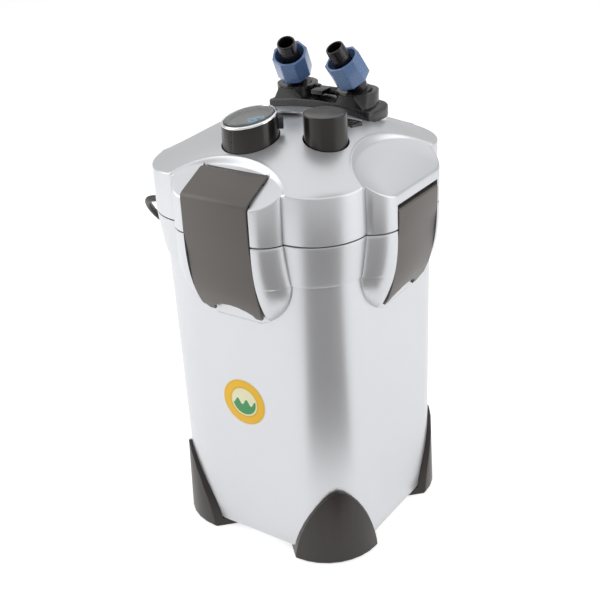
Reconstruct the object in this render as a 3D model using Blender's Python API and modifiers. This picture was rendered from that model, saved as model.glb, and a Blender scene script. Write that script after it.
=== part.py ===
"""Canister filter with a four latch lid, an ultraviolet lamp unit and two angled hose connectors.

Metres, +Z up.  The front latch faces -Y and the canister stands on four corner feet at z = 0.
Round the object the letters u, v name the place across a face and the distance out from the axis.
"""
import math

import bmesh
import bpy
from mathutils import Matrix, Vector

MM = 0.001

# ---------------------------------------------------------------- driving sizes
GAP = 0.3 * MM                     # clearance between pieces that touch
CUT_REACH = 30 * MM                # how far a cutter runs past what it cuts

BODY_HALF_LOW = 90.5 * MM          # half width of the vessel at its foot
BODY_FLARE = 1.7 * MM              # how much further out its sides stand under the collar
BODY_HALF_TOP = BODY_HALF_LOW + BODY_FLARE
BODY_CORNER = 43.0 * MM            # corner radius of the vessel
BODY_FLOOR_Z = 7.5 * MM            # underside of the vessel
BODY_WALL = 3.2 * MM
BODY_FLOOR = 4.0 * MM
SEAM_Z = 300.0 * MM                # line between vessel and lid
SEAM_GAP = 1.0 * MM

LOBE_HALF = BODY_HALF_TOP + 5.0 * MM       # half width of the four corner lobes at the seam
LOBE_CORNER = 44.6 * MM
LOBE_LOW_Z = SEAM_Z - 35.5 * MM    # lower edge of the corner lobes
LOBE_STEP = 1.2 * MM

CHEEK_FACE = BODY_HALF_TOP + 21.3 * MM     # face of the latch housings at the seam
CHEEK_HALF = 51.6 * MM             # half width of a latch housing at the seam
SHIELD_DROP = 44.4 * MM            # height of the rounded lower end of a latch housing
SHIELD_HALF = CHEEK_HALF + 2.4 * MM
SHIELD_FADE = 76.5 * MM            # distance below the seam where the housing meets the vessel

LID_EDGE_Z = SEAM_Z + 38.0 * MM    # top of the lid's upright wall
LID_CROWN_Z = SEAM_Z + 67.2 * MM
DOME_REACH = 100.0 * MM
DOME_FALL = 23.0 * MM              # fall of the lid's dome at that distance from the axis
DOME_BLEND = 4.0 * MM              # how softly the dome runs out into the lid's edge
PANEL_EDGE_Z = SEAM_Z + 30.7 * MM  # outer edge of the sloping panel over a latch
PANEL_SLOPE = 0.58
PANEL_CURVE = 0.26 / DOME_REACH    # how much the panel's slope eases towards the axis
PANEL_RIM_OUT = 1.0 * MM           # the soft rim round a panel, outside, inside and in height
PANEL_RIM_IN = 1.6 * MM
PANEL_RIM_HIGH = 3.6 * MM
FRONT_APEX = CHEEK_FACE - 40.0 * MM        # inner end of the front panel, from the axis
SIDE_APEX = CHEEK_FACE - 45.0 * MM

LATCH_HALF = 31.3 * MM
LATCH_SHEET = 2.4 * MM
PLATE_SHEET = 1.7 * MM             # sheet of the front latch's top plate
LATCH_SIDE_GAP = 0.9 * MM
LATCH_NECK_Z = SEAM_Z - 46.0 * MM  # where a latch's sides start to close in on its tips
LATCH_TIP_Z = SEAM_Z - 72.0 * MM
POCKET_FLOOR = BODY_HALF_TOP + 1.3 * MM    # distance from the axis to the floor of a latch pocket
POCKET_TOP_Z = SEAM_Z + 20.5 * MM
LEDGE_REACH = 5.0 * MM             # the vessel's catch under which a latch hooks
LEDGE_LOW_Z = SEAM_Z - 12.5 * MM
LEDGE_HIGH = 3.0 * MM
PIN_RADIUS = 1.1 * MM
SIDE_KNUCKLE = 2.6 * MM            # radius of a side latch's rounded top
SIDE_PIVOT = (CHEEK_FACE - 3.5 * MM, SEAM_Z + 14.0 * MM)   # distance out and height of its pin
FRONT_PIVOT = (CHEEK_FACE - 27.5 * MM, SEAM_Z + 42.5 * MM)
FRONT_BEND = (CHEEK_FACE + 1.2 * MM, SEAM_Z + 33.4 * MM)
FRONT_BACK = (CHEEK_FACE - 25.5 * MM, SEAM_Z + 46.5 * MM)  # back edge of the front latch's top plate

FOOT_HALF = BODY_HALF_LOW + 6.0 * MM
FOOT_TOP_HALF = BODY_HALF_LOW + 4.5 * MM
FOOT_CORNER = BODY_CORNER + 7.0 * MM
FOOT_HIGH = 71.0 * MM
FOOT_SPAN = 36.8 * MM              # half the width of a foot across its corner

UV_PLACE = (-9.0 * MM, -49.0 * MM)
UV_RADIUS = 22.7 * MM
UV_TOP_Z = SEAM_Z + 77.5 * MM
UV_TILT = math.radians(10.5)
UV_TILT_AZIMUTH = math.radians(-120)       # the way in which the window slopes down
WINDOW_RADIUS = UV_RADIUS - 1.3 * MM
WINDOW_DEEP = 5.0 * MM             # depth of the seat under the window

PRIMER_PLACE = (46.0 * MM, -25.0 * MM)
PRIMER_RADIUS = 17.2 * MM
PRIMER_WALL = 2.2 * MM
PRIMER_TOP_Z = SEAM_Z + 82.6 * MM
PRIMER_LOW_Z = SEAM_Z + 22.0 * MM
PRIMER_HOLLOW = 25.0 * MM          # depth of the sleeve over the return spring
GUIDE_GAP = 0.4 * MM               # play between the primer's sleeve and its guide
SPRING_WIRE = 0.8 * MM
SPRING_RADIUS = 9.0 * MM
SPRING_TURNS = 8

SWITCH_PLACE = (41.0 * MM, 15.2 * MM)
SWITCH_TURN = math.radians(-10)
SWITCH_LONG = 20.0 * MM
SWITCH_WIDE = 13.0 * MM
SWITCH_RIM = 1.7 * MM
SWITCH_DEEP = 14.0 * MM

SOCKET_X = 30.0 * MM               # the two hose sockets lie at plus and minus this
SOCKET_Y = 50.0 * MM
SOCKET_RADIUS = 17.5 * MM
SOCKET_SEAT = 12.4 * MM            # radius of the seat in which a connector's foot turns
SOCKET_SEAT_DEEP = 5.0 * MM
SOCKET_TOP_Z = SEAM_Z + 79.5 * MM
STUB_RADIUS = 12.5 * MM            # pipe ends under the connector plate
STUB_LOW_Z = SEAM_Z + 30.0 * MM
PIPE_BORE = 10.5 * MM
PIPE_WALL = 2.6 * MM
PLATE_HALF = 57.5 * MM
PLATE_DEEP = 19.5 * MM             # half the depth of the connector plate
PLATE_THICK = 9.0 * MM
PLATE_TOP_Z = SEAM_Z + 71.0 * MM
PLATE_CORNER = 12.0 * MM
PLATE_SAG = 6.0 * MM               # how far the plate's ends bend down with the dome
PLATE_EDGE = 1.2 * MM
SEAT_GROW = 2.0 * MM               # the lid's saddle under the connector plate, beyond the plate
SEAT_DEEP = 30.0 * MM
SEAT_EDGE = 0.8 * MM
LEVER_AXIS = (SOCKET_Y + 2.0 * MM, PLATE_TOP_Z + 3.9 * MM)
LEVER_EAR = 10.8 * MM              # from the middle to each ear that carries the lever

ELBOW_LEAN = math.radians(32)
ELBOW_TURNS = {"left": math.radians(13), "right": math.radians(-22)}
ELBOW_NECK = 8.8 * MM
ELBOW_BORE = 5.5 * MM
ELBOW_RISE = 3.0 * MM              # height of the bend above the socket
ELBOW_SWING = 7.0 * MM             # length of the bend to each side of its middle
SPIGOT_LONG = 43.0 * MM            # from the bend to the tip
SPIGOT_TIP = 6.8 * MM
SPIGOT_ROOT = 8.2 * MM
BARB_COUNT = 4
BARB_PITCH = 6.0 * MM
NUT_FLATS = 30.0 * MM
NUT_LONG = 27.0 * MM
NUT_START = 5.0 * MM               # distance from the bend to the nut
NUT_BORE = 12.2 * MM

BASE_HALF = BODY_HALF_TOP - 1.7 * MM       # flange of the inner head that closes the vessel
BASE_CORNER = BODY_CORNER - 3.0 * MM
BASE_PLUG_HALF = BODY_HALF_TOP - BODY_WALL - 4.0 * MM
BASE_PLUG_CORNER = BASE_CORNER - 1.0 * MM
BASE_PLUG_LOW_Z = SEAM_Z - 21.0 * MM
BASE_TOP_Z = SEAM_Z + 2.8 * MM
BASE_FLANGE = 3.0 * MM
GASKET_HIGH = 4.0 * MM
GASKET_Z = SEAM_Z - 12.0 * MM
GASKET_SINK = 3.0 * MM             # how far the seal sits in the plug's groove

LID_CAVITY_HALF = BASE_HALF + 0.5 * MM
LID_CAVITY_CORNER = BASE_CORNER
LID_WALL_HALF = LID_CAVITY_HALF - 5.0 * MM # inner half width of the lid above the head's flange

MOTOR_PLACE = (8.0 * MM, 8.0 * MM)
MOTOR_RADIUS = 26.5 * MM
MOTOR_TOP_Z = SEAM_Z + 40.0 * MM
ROTOR_RADIUS = 9.5 * MM
ROTOR_WELL = ROTOR_RADIUS + 1.5 * MM
VOLUTE_RADIUS = 27.0 * MM
VOLUTE_WALL = 2.0 * MM
VOLUTE_LOW_Z = SEAM_Z - 43.0 * MM
COVER_THICK = 3.0 * MM
IMPELLER_RADIUS = VOLUTE_RADIUS - 6.0 * MM
BLADE_HIGH = 12.0 * MM
BLADE_THICK = 1.6 * MM
BLADE_TURN = math.radians(12)
SHAFT_RADIUS = 1.5 * MM
BUSH_RADIUS = 4.0 * MM
BLADE_COUNT = 6

RISER_RADIUS = 19.5 * MM
RISER_WALL = 2.0 * MM
SLEEVE_RADIUS = 12.5 * MM
SLEEVE_WALL = 1.5 * MM
SLEEVE_TOP_Z = SEAM_Z + 32.0 * MM
SLEEVE_LOW_Z = SEAM_Z / 2
SLEEVE_HEAD = 15.0 * MM            # radius of the sleeve's head in the lamp unit
LAMP_LIMB = 4.2 * MM               # radius of the lamp's glass tube
LAMP_SPREAD = 5.6 * MM
LAMP_CAP = SLEEVE_RADIUS - SLEEVE_WALL - 0.4 * MM
BASKET_HALF = BODY_HALF_LOW - 7.5 * MM
BASKET_CORNER = BODY_CORNER - 7.0 * MM
BASKET_LOW_Z = BODY_FLOOR_Z + BODY_FLOOR + 0.5 * MM
BASKET_HIGH = (VOLUTE_LOW_Z - BASKET_LOW_Z - 23.0 * MM) / 3
BASKET_WALL = 2.0 * MM
BASKET_FLOOR = 3.0 * MM
MEDIA_SINK = 6.0 * MM              # how far a medium stays below its basket's rim
MEDIA_NAMES = ("foam_block", "ceramic_rings", "fine_wool")

CORD_RADIUS = 3.25 * MM
GLAND_PLACE = (-LOBE_HALF, 62.0 * MM, SEAM_Z + 18.0 * MM)
GLAND_LONG = 23.9 * MM
GLAND_ROOT = 5.9 * MM
COIL_TURNS = 5
COIL_OUTER = 46.7 * MM             # radius of the coil's outermost loop
COIL_PLACE = (-101.0 * MM, 145.0 * MM)
COIL_START = math.radians(190)
COIL_LOW = CORD_RADIUS + 1.35 * MM         # height of the lower loops, which lie on the tie
LOOP_PITCH = 2 * CORD_RADIUS + 0.9 * MM
LAYER_STEP = 2 * CORD_RADIUS + 0.8 * MM
LOWER_TURNS = 2.75                 # turns of the lower layer, before the lead comes back out on top
TAIL_LONG = 60.0 * MM
TAIL_STEPS = 7
TAIL_WAY = Vector((math.sin(COIL_START), -math.cos(COIL_START), 0.0))
PLUG_LONG = 34.0 * MM
PLUG_WIDE = 25.0 * MM
PLUG_HIGH = 13.5 * MM
PLUG_AXIS_Z = PLUG_HIGH / 2 + 0.45 * MM
PLUG_PIN_SPACING = 19.0 * MM
TIE_ANGLE = math.radians(20)
TIE_WIDE = 9.0 * MM

FACE_TURNS = {"front": 0.0, "right": math.pi / 2, "rear": math.pi, "left": -math.pi / 2}
CORNER_TURNS = {"front_right": 0.0, "rear_right": math.pi / 2,
                "rear_left": math.pi, "front_left": -math.pi / 2}

SIGNS = {"left": -1, "right": 1}
SQUARE = ((-1, -1), (1, -1), (1, 1), (-1, 1))

PARTS = None
CUTTERS = None


# ---------------------------------------------------------------- scene and materials
def clear_scene():
    for old in list(bpy.data.objects):
        bpy.data.objects.remove(old, do_unlink=True)


def make_collections():
    global PARTS, CUTTERS
    PARTS = bpy.data.collections.new("canister_filter")
    CUTTERS = bpy.data.collections.new("cutters")
    bpy.context.scene.collection.children.link(PARTS)
    bpy.context.scene.collection.children.link(CUTTERS)


def material(name, colour, roughness, metallic=0.0, alpha=1.0):
    made = bpy.data.materials.get(name)
    if made:
        return made
    made = bpy.data.materials.new(name)
    made.use_nodes = True
    shader = made.node_tree.nodes["Principled BSDF"]
    shader.inputs["Base Color"].default_value = (*colour, 1.0)
    shader.inputs["Roughness"].default_value = roughness
    shader.inputs["Metallic"].default_value = metallic
    shader.inputs["Alpha"].default_value = alpha
    made.diffuse_color = (*colour, alpha)
    return made


def silver_paint():
    return material("silver_paint", (0.62, 0.63, 0.65), 0.38, 0.35)


def grey_plastic():
    return material("warm_grey_plastic", (0.115, 0.105, 0.098), 0.42)


def dark_plastic():
    return material("dark_foot_plastic", (0.048, 0.044, 0.041), 0.5)


def black_plastic():
    return material("gloss_black_plastic", (0.016, 0.014, 0.014), 0.25)


def blue_plastic():
    return material("blue_nut_plastic", (0.085, 0.165, 0.36), 0.35)


def steel():
    return material("stainless_steel", (0.6, 0.6, 0.6), 0.3, 1.0)


def rubber(name="black_rubber"):
    return material(name, (0.02, 0.02, 0.02), 0.8)


def clear_glass(name="clear_window"):
    return material(name, (0.85, 0.9, 0.92), 0.05, 0.0, 0.35)


# ---------------------------------------------------------------- modelling helpers
def adopt(made, name, finish, collection=None):
    """Give a new object its name, its finish and its collection."""
    made.name = name
    made.data.name = name
    for holder in list(made.users_collection):
        holder.objects.unlink(made)
    (collection or PARTS).objects.link(made)
    if finish:
        made.data.materials.clear()
        made.data.materials.append(finish)
    return made


def mesh_object(name, build, finish=None, collection=None):
    """A new object whose mesh is filled in by the function build."""
    shape = bpy.data.meshes.new(name)
    work = bmesh.new()
    build(work)
    bmesh.ops.recalc_face_normals(work, faces=work.faces)
    work.to_mesh(shape)
    work.free()
    return adopt(bpy.data.objects.new(name, shape), name, finish, collection)


def loft(name, rings, finish=None, collection=None):
    """Skin through rings of equal point counts, with a flat cap at each end."""
    def build(work):
        rows = [[work.verts.new(point) for point in ring] for ring in rings]
        for lower, upper in zip(rows, rows[1:]):
            for index in range(len(lower)):
                after = (index + 1) % len(lower)
                work.faces.new((lower[index], lower[after], upper[after], upper[index]))
        work.faces.new(rows[0])
        work.faces.new(rows[-1])
    return mesh_object(name, build, finish, collection)


def box(name, size, place, finish=None, collection=None):
    def build(work):
        bmesh.ops.create_cube(work, size=1.0)
        bmesh.ops.scale(work, vec=Vector(size), verts=work.verts)
    made = mesh_object(name, build, finish, collection)
    made.location = place
    return made


def cylinder(name, radius, low, high, place=(0.0, 0.0), sides=32, finish=None,
             collection=None, top_radius=None):
    """Upright cylinder or cone between two heights."""
    def build(work):
        bmesh.ops.create_cone(work, cap_ends=True, segments=sides, radius1=radius,
                              radius2=radius if top_radius is None else top_radius, depth=high - low)
    made = mesh_object(name, build, finish, collection)
    made.location = (place[0], place[1], (low + high) / 2)
    return made


def turned(name, profile, sides=32, finish=None, collection=None):
    """Solid of revolution about Z from an open profile of (radius, height), top to bottom."""
    shape = bpy.data.meshes.new(name)
    shape.from_pydata([(radius, 0.0, height) for radius, height in profile],
                      [(index, index + 1) for index in range(len(profile) - 1)], [])
    made = adopt(bpy.data.objects.new(name, shape), name, finish, collection)
    screw = made.modifiers.new("turn", "SCREW")
    screw.steps = sides
    screw.render_steps = sides
    screw.use_merge_vertices = True
    screw.merge_threshold = 0.00001
    screw.use_normal_calculate = True
    return made


def extruded(name, outline, thickness, finish=None, collection=None, holes=()):
    """Flat outline in X, Y, less its holes, made thick along Z, half to each side."""
    curve = bpy.data.curves.new(name, "CURVE")
    curve.dimensions = "2D"
    curve.fill_mode = "BOTH"
    curve.extrude = thickness / 2
    for loop in (outline, *holes):
        spline = curve.splines.new("POLY")
        spline.points.add(len(loop) - 1)
        for point, (x, y) in zip(spline.points, loop):
            point.co = (x, y, 0.0, 1.0)
        spline.use_cyclic_u = True
    return adopt(bpy.data.objects.new(name, curve), name, finish, collection)


def tube(name, points, radius, finish=None, collection=None, resolution=2):
    curve = bpy.data.curves.new(name, "CURVE")
    curve.dimensions = "3D"
    curve.bevel_depth = radius
    curve.bevel_resolution = resolution
    curve.use_fill_caps = True
    spline = curve.splines.new("POLY")
    spline.points.add(len(points) - 1)
    for point, place in zip(spline.points, points):
        point.co = (*place, 1.0)
    return adopt(bpy.data.objects.new(name, curve), name, finish, collection)


def as_mesh(made):
    """Turn a curve, or an object with modifiers, into a plain closed mesh."""
    bpy.context.view_layer.update()
    evaluated = made.evaluated_get(bpy.context.evaluated_depsgraph_get())
    shape = bpy.data.meshes.new_from_object(evaluated)
    work = bmesh.new()
    work.from_mesh(shape)
    bmesh.ops.remove_doubles(work, verts=work.verts, dist=0.000005)
    bmesh.ops.recalc_face_normals(work, faces=work.faces)
    work.to_mesh(shape)
    work.free()
    name = made.name
    collection = made.users_collection[0]
    finish = made.data.materials[0] if made.data.materials else None
    place = made.matrix_world.copy()
    bpy.data.objects.remove(made, do_unlink=True)
    fresh = adopt(bpy.data.objects.new(name, shape), name, finish, collection)
    fresh.matrix_world = place
    return fresh


def combine(target, tool, operation):
    """Cut, join or keep the common part of two solids; the tool moves to the cutters."""
    for holder in list(tool.users_collection):
        holder.objects.unlink(tool)
    CUTTERS.objects.link(tool)
    tool.hide_render = True
    tool.display_type = "WIRE"
    step = target.modifiers.new(operation.lower() + "_" + tool.name, "BOOLEAN")
    step.operation = operation
    step.object = tool
    step.solver = "EXACT"
    return target


def cut(target, tool):
    return combine(target, tool, "DIFFERENCE")


def join(target, tool):
    return combine(target, tool, "UNION")


def keep(target, tool):
    return combine(target, tool, "INTERSECT")


def soften(made, width, segments=2, angle=35):
    bevel = made.modifiers.new("soften", "BEVEL")
    bevel.width = width
    bevel.segments = segments
    bevel.limit_method = "ANGLE"
    bevel.angle_limit = math.radians(angle)
    return made


def smooth(made, angle=38):
    made.data.shade_smooth()
    made.data.set_sharp_from_angle(angle=math.radians(angle))
    return made


def turn_about_axis(made, angle):
    """Turn an object about the object's upright middle axis."""
    made.matrix_world = Matrix.Rotation(angle, 4, "Z") @ made.matrix_world
    return made


def face_frame(u, v, z):
    """Point from place across, distance out and height, on the front face."""
    return Vector((u, -v, z))


# ---------------------------------------------------------------- plan outlines
def rounded_square_reach(half, corner, angle):
    """Distance from the axis to a rounded square, at an angle from its face's middle."""
    centre = half - corner
    if math.tan(angle) <= centre / half:
        return half / math.cos(angle)
    along = centre * (math.cos(angle) + math.sin(angle))
    return along + math.sqrt(along * along - 2 * centre * centre + corner * corner)


def rounded_square_front(half, corner, u):
    """Distance out of a rounded square's side at place u across its face."""
    centre = half - corner
    if abs(u) <= centre:
        return half
    return centre + math.sqrt(corner * corner - (abs(u) - centre) ** 2)


def rounded_square(half, corner, z, arc_steps=6):
    points = []
    for quarter in range(4):
        for step in range(arc_steps + 1):
            angle = math.radians(90 * step / arc_steps) - math.pi / 2
            x = half - corner + corner * math.cos(angle)
            y = -(half - corner) + corner * math.sin(angle)
            points.append(Matrix.Rotation(quarter * math.pi / 2, 3, "Z") @ Vector((x, y, z)))
    return points


def body_half(z):
    share = (z - BODY_FLOOR_Z) / (LOBE_LOW_Z - BODY_FLOOR_Z)
    return BODY_HALF_LOW + (BODY_HALF_TOP - BODY_HALF_LOW) * min(max(share, 0.0), 1.0)


def housing_reach(z):
    """How far a latch housing stands out of the vessel, at a height under the seam."""
    below = (SEAM_Z - z) / SHIELD_FADE
    if below >= 1.0:
        return 0.0
    return (CHEEK_FACE - BODY_HALF_TOP) * (1.0 - max(below, 0.0) ** 2.6)


def housing_half(z):
    """Half width of a latch housing: straight at the seam, with a rounded lower end."""
    if z >= LOBE_LOW_Z:
        share = (z - LOBE_LOW_Z) / (SEAM_Z - LOBE_LOW_Z)
        return SHIELD_HALF + (CHEEK_HALF - SHIELD_HALF) * min(share, 1.0)
    down = (LOBE_LOW_Z - z) / SHIELD_DROP
    return SHIELD_HALF * math.sqrt(max(1.0 - down * down, 0.0))


def lobe_shape(z):
    """Half width and corner radius of the plan behind the latch housings."""
    if z < LOBE_LOW_Z:
        return body_half(z), BODY_CORNER
    share = min((z - LOBE_LOW_Z) / (SEAM_Z - LOBE_LOW_Z), 1.0)
    start = body_half(z) + LOBE_STEP
    return start + (LOBE_HALF - start) * share ** 0.8, BODY_CORNER + (LOBE_CORNER - BODY_CORNER) * share


HOUSING_STATIONS = (0.0, 0.35, 0.66, 0.88, 1.0)
LOBE_STATIONS = 4


def plan_outline(z, inset=0.0):
    """Plan of vessel, corner lobes and latch housings at one height, as points round the axis."""
    half, corner = lobe_shape(z)
    wide = max(housing_half(z), 0.2 * CHEEK_HALF)
    reach = housing_reach(z)
    flat = min(LATCH_HALF, 0.8 * wide)
    face = rounded_square_front(body_half(z), BODY_CORNER, 0.0) + reach
    eighth = [(0.0, max(face, half)), (flat * 0.55, max(face, half))]
    for share in HOUSING_STATIONS:
        u = flat + (wide - flat) * share
        back = rounded_square_front(half, corner, u)
        v = back + max(face - back, 0.0) * (1.0 - share * share) ** 0.7
        eighth.append((u, v))
    start = math.atan2(eighth[-1][0], eighth[-1][1])
    for step in range(1, LOBE_STATIONS + 1):
        angle = start + (math.pi / 4 - start) * step / LOBE_STATIONS
        reach_here = rounded_square_reach(half, corner, angle)
        eighth.append((reach_here * math.sin(angle), reach_here * math.cos(angle)))
    side = [(-u, v) for u, v in reversed(eighth[1:-1])] + eighth
    ring = []
    for quarter in range(4):
        turn = Matrix.Rotation(quarter * math.pi / 2, 3, "Z")
        for u, v in side:
            point = turn @ Vector((u, -v, z))
            length = math.hypot(point.x, point.y)
            ring.append(Vector((point.x * (1 - inset / length), point.y * (1 - inset / length), z)))
    return ring


def dome_height(x, y):
    """Height of the lid's top over a place on the plan."""
    radius = math.hypot(x, y)
    above = LID_CROWN_Z - DOME_FALL * (radius / DOME_REACH) ** 2 - LID_EDGE_Z
    return LID_EDGE_Z + 0.5 * (above + math.sqrt(above * above + DOME_BLEND ** 2))


def panel_height(v):
    """Height of the sloping panel that is sunk into the lid over each latch."""
    inward = max(CHEEK_FACE - v, 0.0)
    return PANEL_EDGE_Z + PANEL_SLOPE * inward - PANEL_CURVE * inward * inward


# ---------------------------------------------------------------- vessel
def cavity_half(z):
    return body_half(min(z, SEAM_Z)) - BODY_WALL


def vessel_cavity():
    corner = BODY_CORNER - BODY_WALL
    low = BODY_FLOOR_Z + BODY_FLOOR
    rings = [rounded_square(cavity_half(low) - 6 * MM, corner - 6 * MM, low),
             rounded_square(cavity_half(low + 6 * MM), corner, low + 6 * MM),
             rounded_square(cavity_half(LOBE_LOW_Z), corner, LOBE_LOW_Z),
             rounded_square(cavity_half(SEAM_Z), corner, SEAM_Z + CUT_REACH)]
    return loft("vessel_cavity", rings, collection=CUTTERS)


def profile_bar(name, profile, half_width, holes=()):
    """Solid with an (out, up) profile, run across a face from -half_width to half_width."""
    made = as_mesh(extruded(name, profile, 2 * half_width, collection=CUTTERS, holes=holes))
    # the outline's X becomes the way out (-Y), its Y the height and its thickness the way across
    made.matrix_world = Matrix(((0, 0, -1, 0), (-1, 0, 0, 0), (0, 1, 0, 0), (0, 0, 0, 1)))
    return made


def vessel_pocket(side):
    """The recess of one latch with the ledge that the latch hooks under."""
    outer = CHEEK_FACE + CUT_REACH
    foot_z = SEAM_Z - SHIELD_FADE - 3 * MM
    ledge_out = POCKET_FLOOR + LEDGE_REACH
    profile = [(POCKET_FLOOR, foot_z), (outer, foot_z), (outer, SEAM_Z + 2 * MM),
               (POCKET_FLOOR, SEAM_Z + 2 * MM), (POCKET_FLOOR, LEDGE_LOW_Z + LEDGE_HIGH),
               (ledge_out, LEDGE_LOW_Z + LEDGE_HIGH), (ledge_out, LEDGE_LOW_Z),
               (POCKET_FLOOR, LEDGE_LOW_Z)]
    bar = profile_bar("vessel_pocket_" + side, profile, LATCH_HALF + LATCH_SIDE_GAP)
    return turn_about_axis(bar, FACE_TURNS[side])


def make_canister():
    heights = [BODY_FLOOR_Z, BODY_FLOOR_Z + 2 * MM, SEAM_Z / 5, SEAM_Z / 2]
    heights += [LOBE_LOW_Z - SHIELD_DROP * share for share in (1.11, 0.98, 0.87, 0.75, 0.6, 0.42, 0.21)]
    heights += [LOBE_LOW_Z - LOBE_STEP / 3, LOBE_LOW_Z]
    heights += [LOBE_LOW_Z + (SEAM_Z - LOBE_LOW_Z) * share for share in (0.11, 0.35, 0.66)]
    heights.append(SEAM_Z - SEAM_GAP / 2)
    insets = [2 * MM, 0.0] + [0.0] * (len(heights) - 2)
    rings = [plan_outline(z, inset) for z, inset in zip(heights, insets)]
    vessel = loft("canister", rings, silver_paint())
    cut(vessel, vessel_cavity())
    for side in FACE_TURNS:
        cut(vessel, vessel_pocket(side))
    return smooth(vessel, 30)


def make_feet():
    """Four arched corner shells, each with a floor under the vessel's corner."""
    outer = loft("foot_blank", [rounded_square(FOOT_HALF - 1 * MM, FOOT_CORNER, 0.0, 8),
                                rounded_square(FOOT_HALF, FOOT_CORNER, 1.5 * MM, 8),
                                rounded_square(FOOT_TOP_HALF, FOOT_CORNER, FOOT_HIGH + 9 * MM, 8)],
                 dark_plastic())
    seat = loft("foot_seat",
                [rounded_square(BODY_HALF_LOW + GAP, BODY_CORNER, BODY_FLOOR_Z - GAP),
                 rounded_square(body_half(FOOT_HIGH + CUT_REACH) + GAP, BODY_CORNER,
                                FOOT_HIGH + CUT_REACH)], collection=CUTTERS)
    arch = []
    steps = 18
    for step in range(steps + 1):
        across = FOOT_SPAN * math.cos(math.pi * step / steps)
        share = abs(across) / FOOT_SPAN
        arch.append((across, FOOT_HIGH * (1.0 - share ** 1.7) ** 0.7 + 2 * MM))
    arch = [(FOOT_SPAN, -5 * MM)] + arch + [(-FOOT_SPAN, -5 * MM)]
    prism = as_mesh(extruded("foot_arch", arch, 90 * MM, collection=CUTTERS))
    # the arch faces out along the front right diagonal
    stand = Matrix.Rotation(math.pi / 2, 4, "X")
    prism.matrix_world = (Matrix.Rotation(math.pi / 4, 4, "Z")
                          @ Matrix.Translation((0, -95 * MM, 0)) @ stand)
    cut(outer, seat)
    keep(outer, prism)
    first = smooth(as_mesh(outer), 30)
    for corner, angle in CORNER_TURNS.items():
        foot = adopt(bpy.data.objects.new("foot_" + corner, first.data), "foot_" + corner, None)
        foot.rotation_euler = (0, 0, angle)
    bpy.data.objects.remove(first, do_unlink=True)


# ---------------------------------------------------------------- lid
def panel_outline(apex, power, grow, steps=14):
    """Arch over a latch in (u, v): straight sides outside, a rounded head towards the axis."""
    base = CHEEK_FACE - 10.5 * MM
    wide = CHEEK_HALF - 1.1 * MM + grow
    deep = base - apex + grow
    points = [(wide, CHEEK_FACE + 12 * MM)]
    for step in range(steps + 1):
        angle = math.pi * step / steps
        across = math.copysign(abs(math.cos(angle)) ** (2 / power), math.cos(angle))
        points.append((wide * across, base - deep * abs(math.sin(angle)) ** (2 / power)))
    points.append((-wide, CHEEK_FACE + 12 * MM))
    return points


def panel_cutter(side, apex, power, dish):
    """Tool that sinks the sloping, softly rimmed panel over one latch."""
    rings = []
    for grow, lift in ((PANEL_RIM_OUT, CUT_REACH), (PANEL_RIM_OUT, PANEL_RIM_HIGH), (-PANEL_RIM_IN, 0.0)):
        ring = []
        for u, v in panel_outline(apex, power, grow):
            ring.append(face_frame(u, v, panel_height(v) + lift))
        rings.append(ring)
    middle = (apex + CHEEK_FACE + 12 * MM) / 2
    for share in (0.72, 0.4, 0.12):
        ring = []
        for u, v in panel_outline(apex, power, -PANEL_RIM_IN):
            place = middle + (v - middle) * share
            fall = dish * (1.0 - share * share)
            ring.append(face_frame(u * share, place, panel_height(place) - fall))
        rings.append(ring)
    tool = loft("panel_" + side, rings, collection=CUTTERS)
    return turn_about_axis(tool, FACE_TURNS[side])


def lid_pocket(side):
    outer = CHEEK_FACE + CUT_REACH
    low = SEAM_Z - 3 * MM
    if side == "front":
        wall = FRONT_BEND[0] - LATCH_SHEET - 3.5 * MM
        profile = [(POCKET_FLOOR, low), (outer, low), (outer, LID_CROWN_Z), (wall, LID_CROWN_Z),
                   (wall, POCKET_TOP_Z), (POCKET_FLOOR, POCKET_TOP_Z)]
    else:
        profile = [(POCKET_FLOOR, low), (outer, low), (outer, POCKET_TOP_Z), (POCKET_FLOOR, POCKET_TOP_Z)]
    bar = profile_bar("lid_pocket_" + side, profile, LATCH_HALF + LATCH_SIDE_GAP)
    return turn_about_axis(bar, FACE_TURNS[side])


def pivot_of(side):
    return FRONT_PIVOT if side == "front" else SIDE_PIVOT


def pin_half_length(side):
    return LATCH_HALF + (4 * MM if side == "front" else 5 * MM)


def pin_rod(name, side, radius, half_length, finish=None, collection=None):
    out, up = pivot_of(side)
    rod = cylinder(name, radius, -half_length, half_length, sides=16, finish=finish, collection=collection)
    rod.matrix_world = (Matrix.Rotation(FACE_TURNS[side], 4, "Z") @ Matrix.Translation((0, -out, up))
                        @ Matrix.Rotation(math.pi / 2, 4, "Y"))
    return rod


def front_knuckle():
    """Radius of the front latch's barrel: from its pin up to the line of its top plate."""
    slope = plate_slope()
    return (FRONT_BACK[0] - FRONT_PIVOT[0]) * -slope.y + (FRONT_BACK[1] - FRONT_PIVOT[1]) * slope.x


def plate_slope():
    return Vector((FRONT_BEND[0] - FRONT_BACK[0], FRONT_BEND[1] - FRONT_BACK[1])).normalized()


def knuckle_slot():
    """Slot across the front panel in which the front latch's barrel turns."""
    out, up = FRONT_PIVOT
    clear = front_knuckle() + 0.4 * MM
    high = LID_CROWN_Z - up
    return box("knuckle_slot", (2 * (LATCH_HALF + 0.6 * MM), 2 * clear, clear + high),
               (0, -out, up + (high - clear) / 2), collection=CUTTERS)


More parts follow.
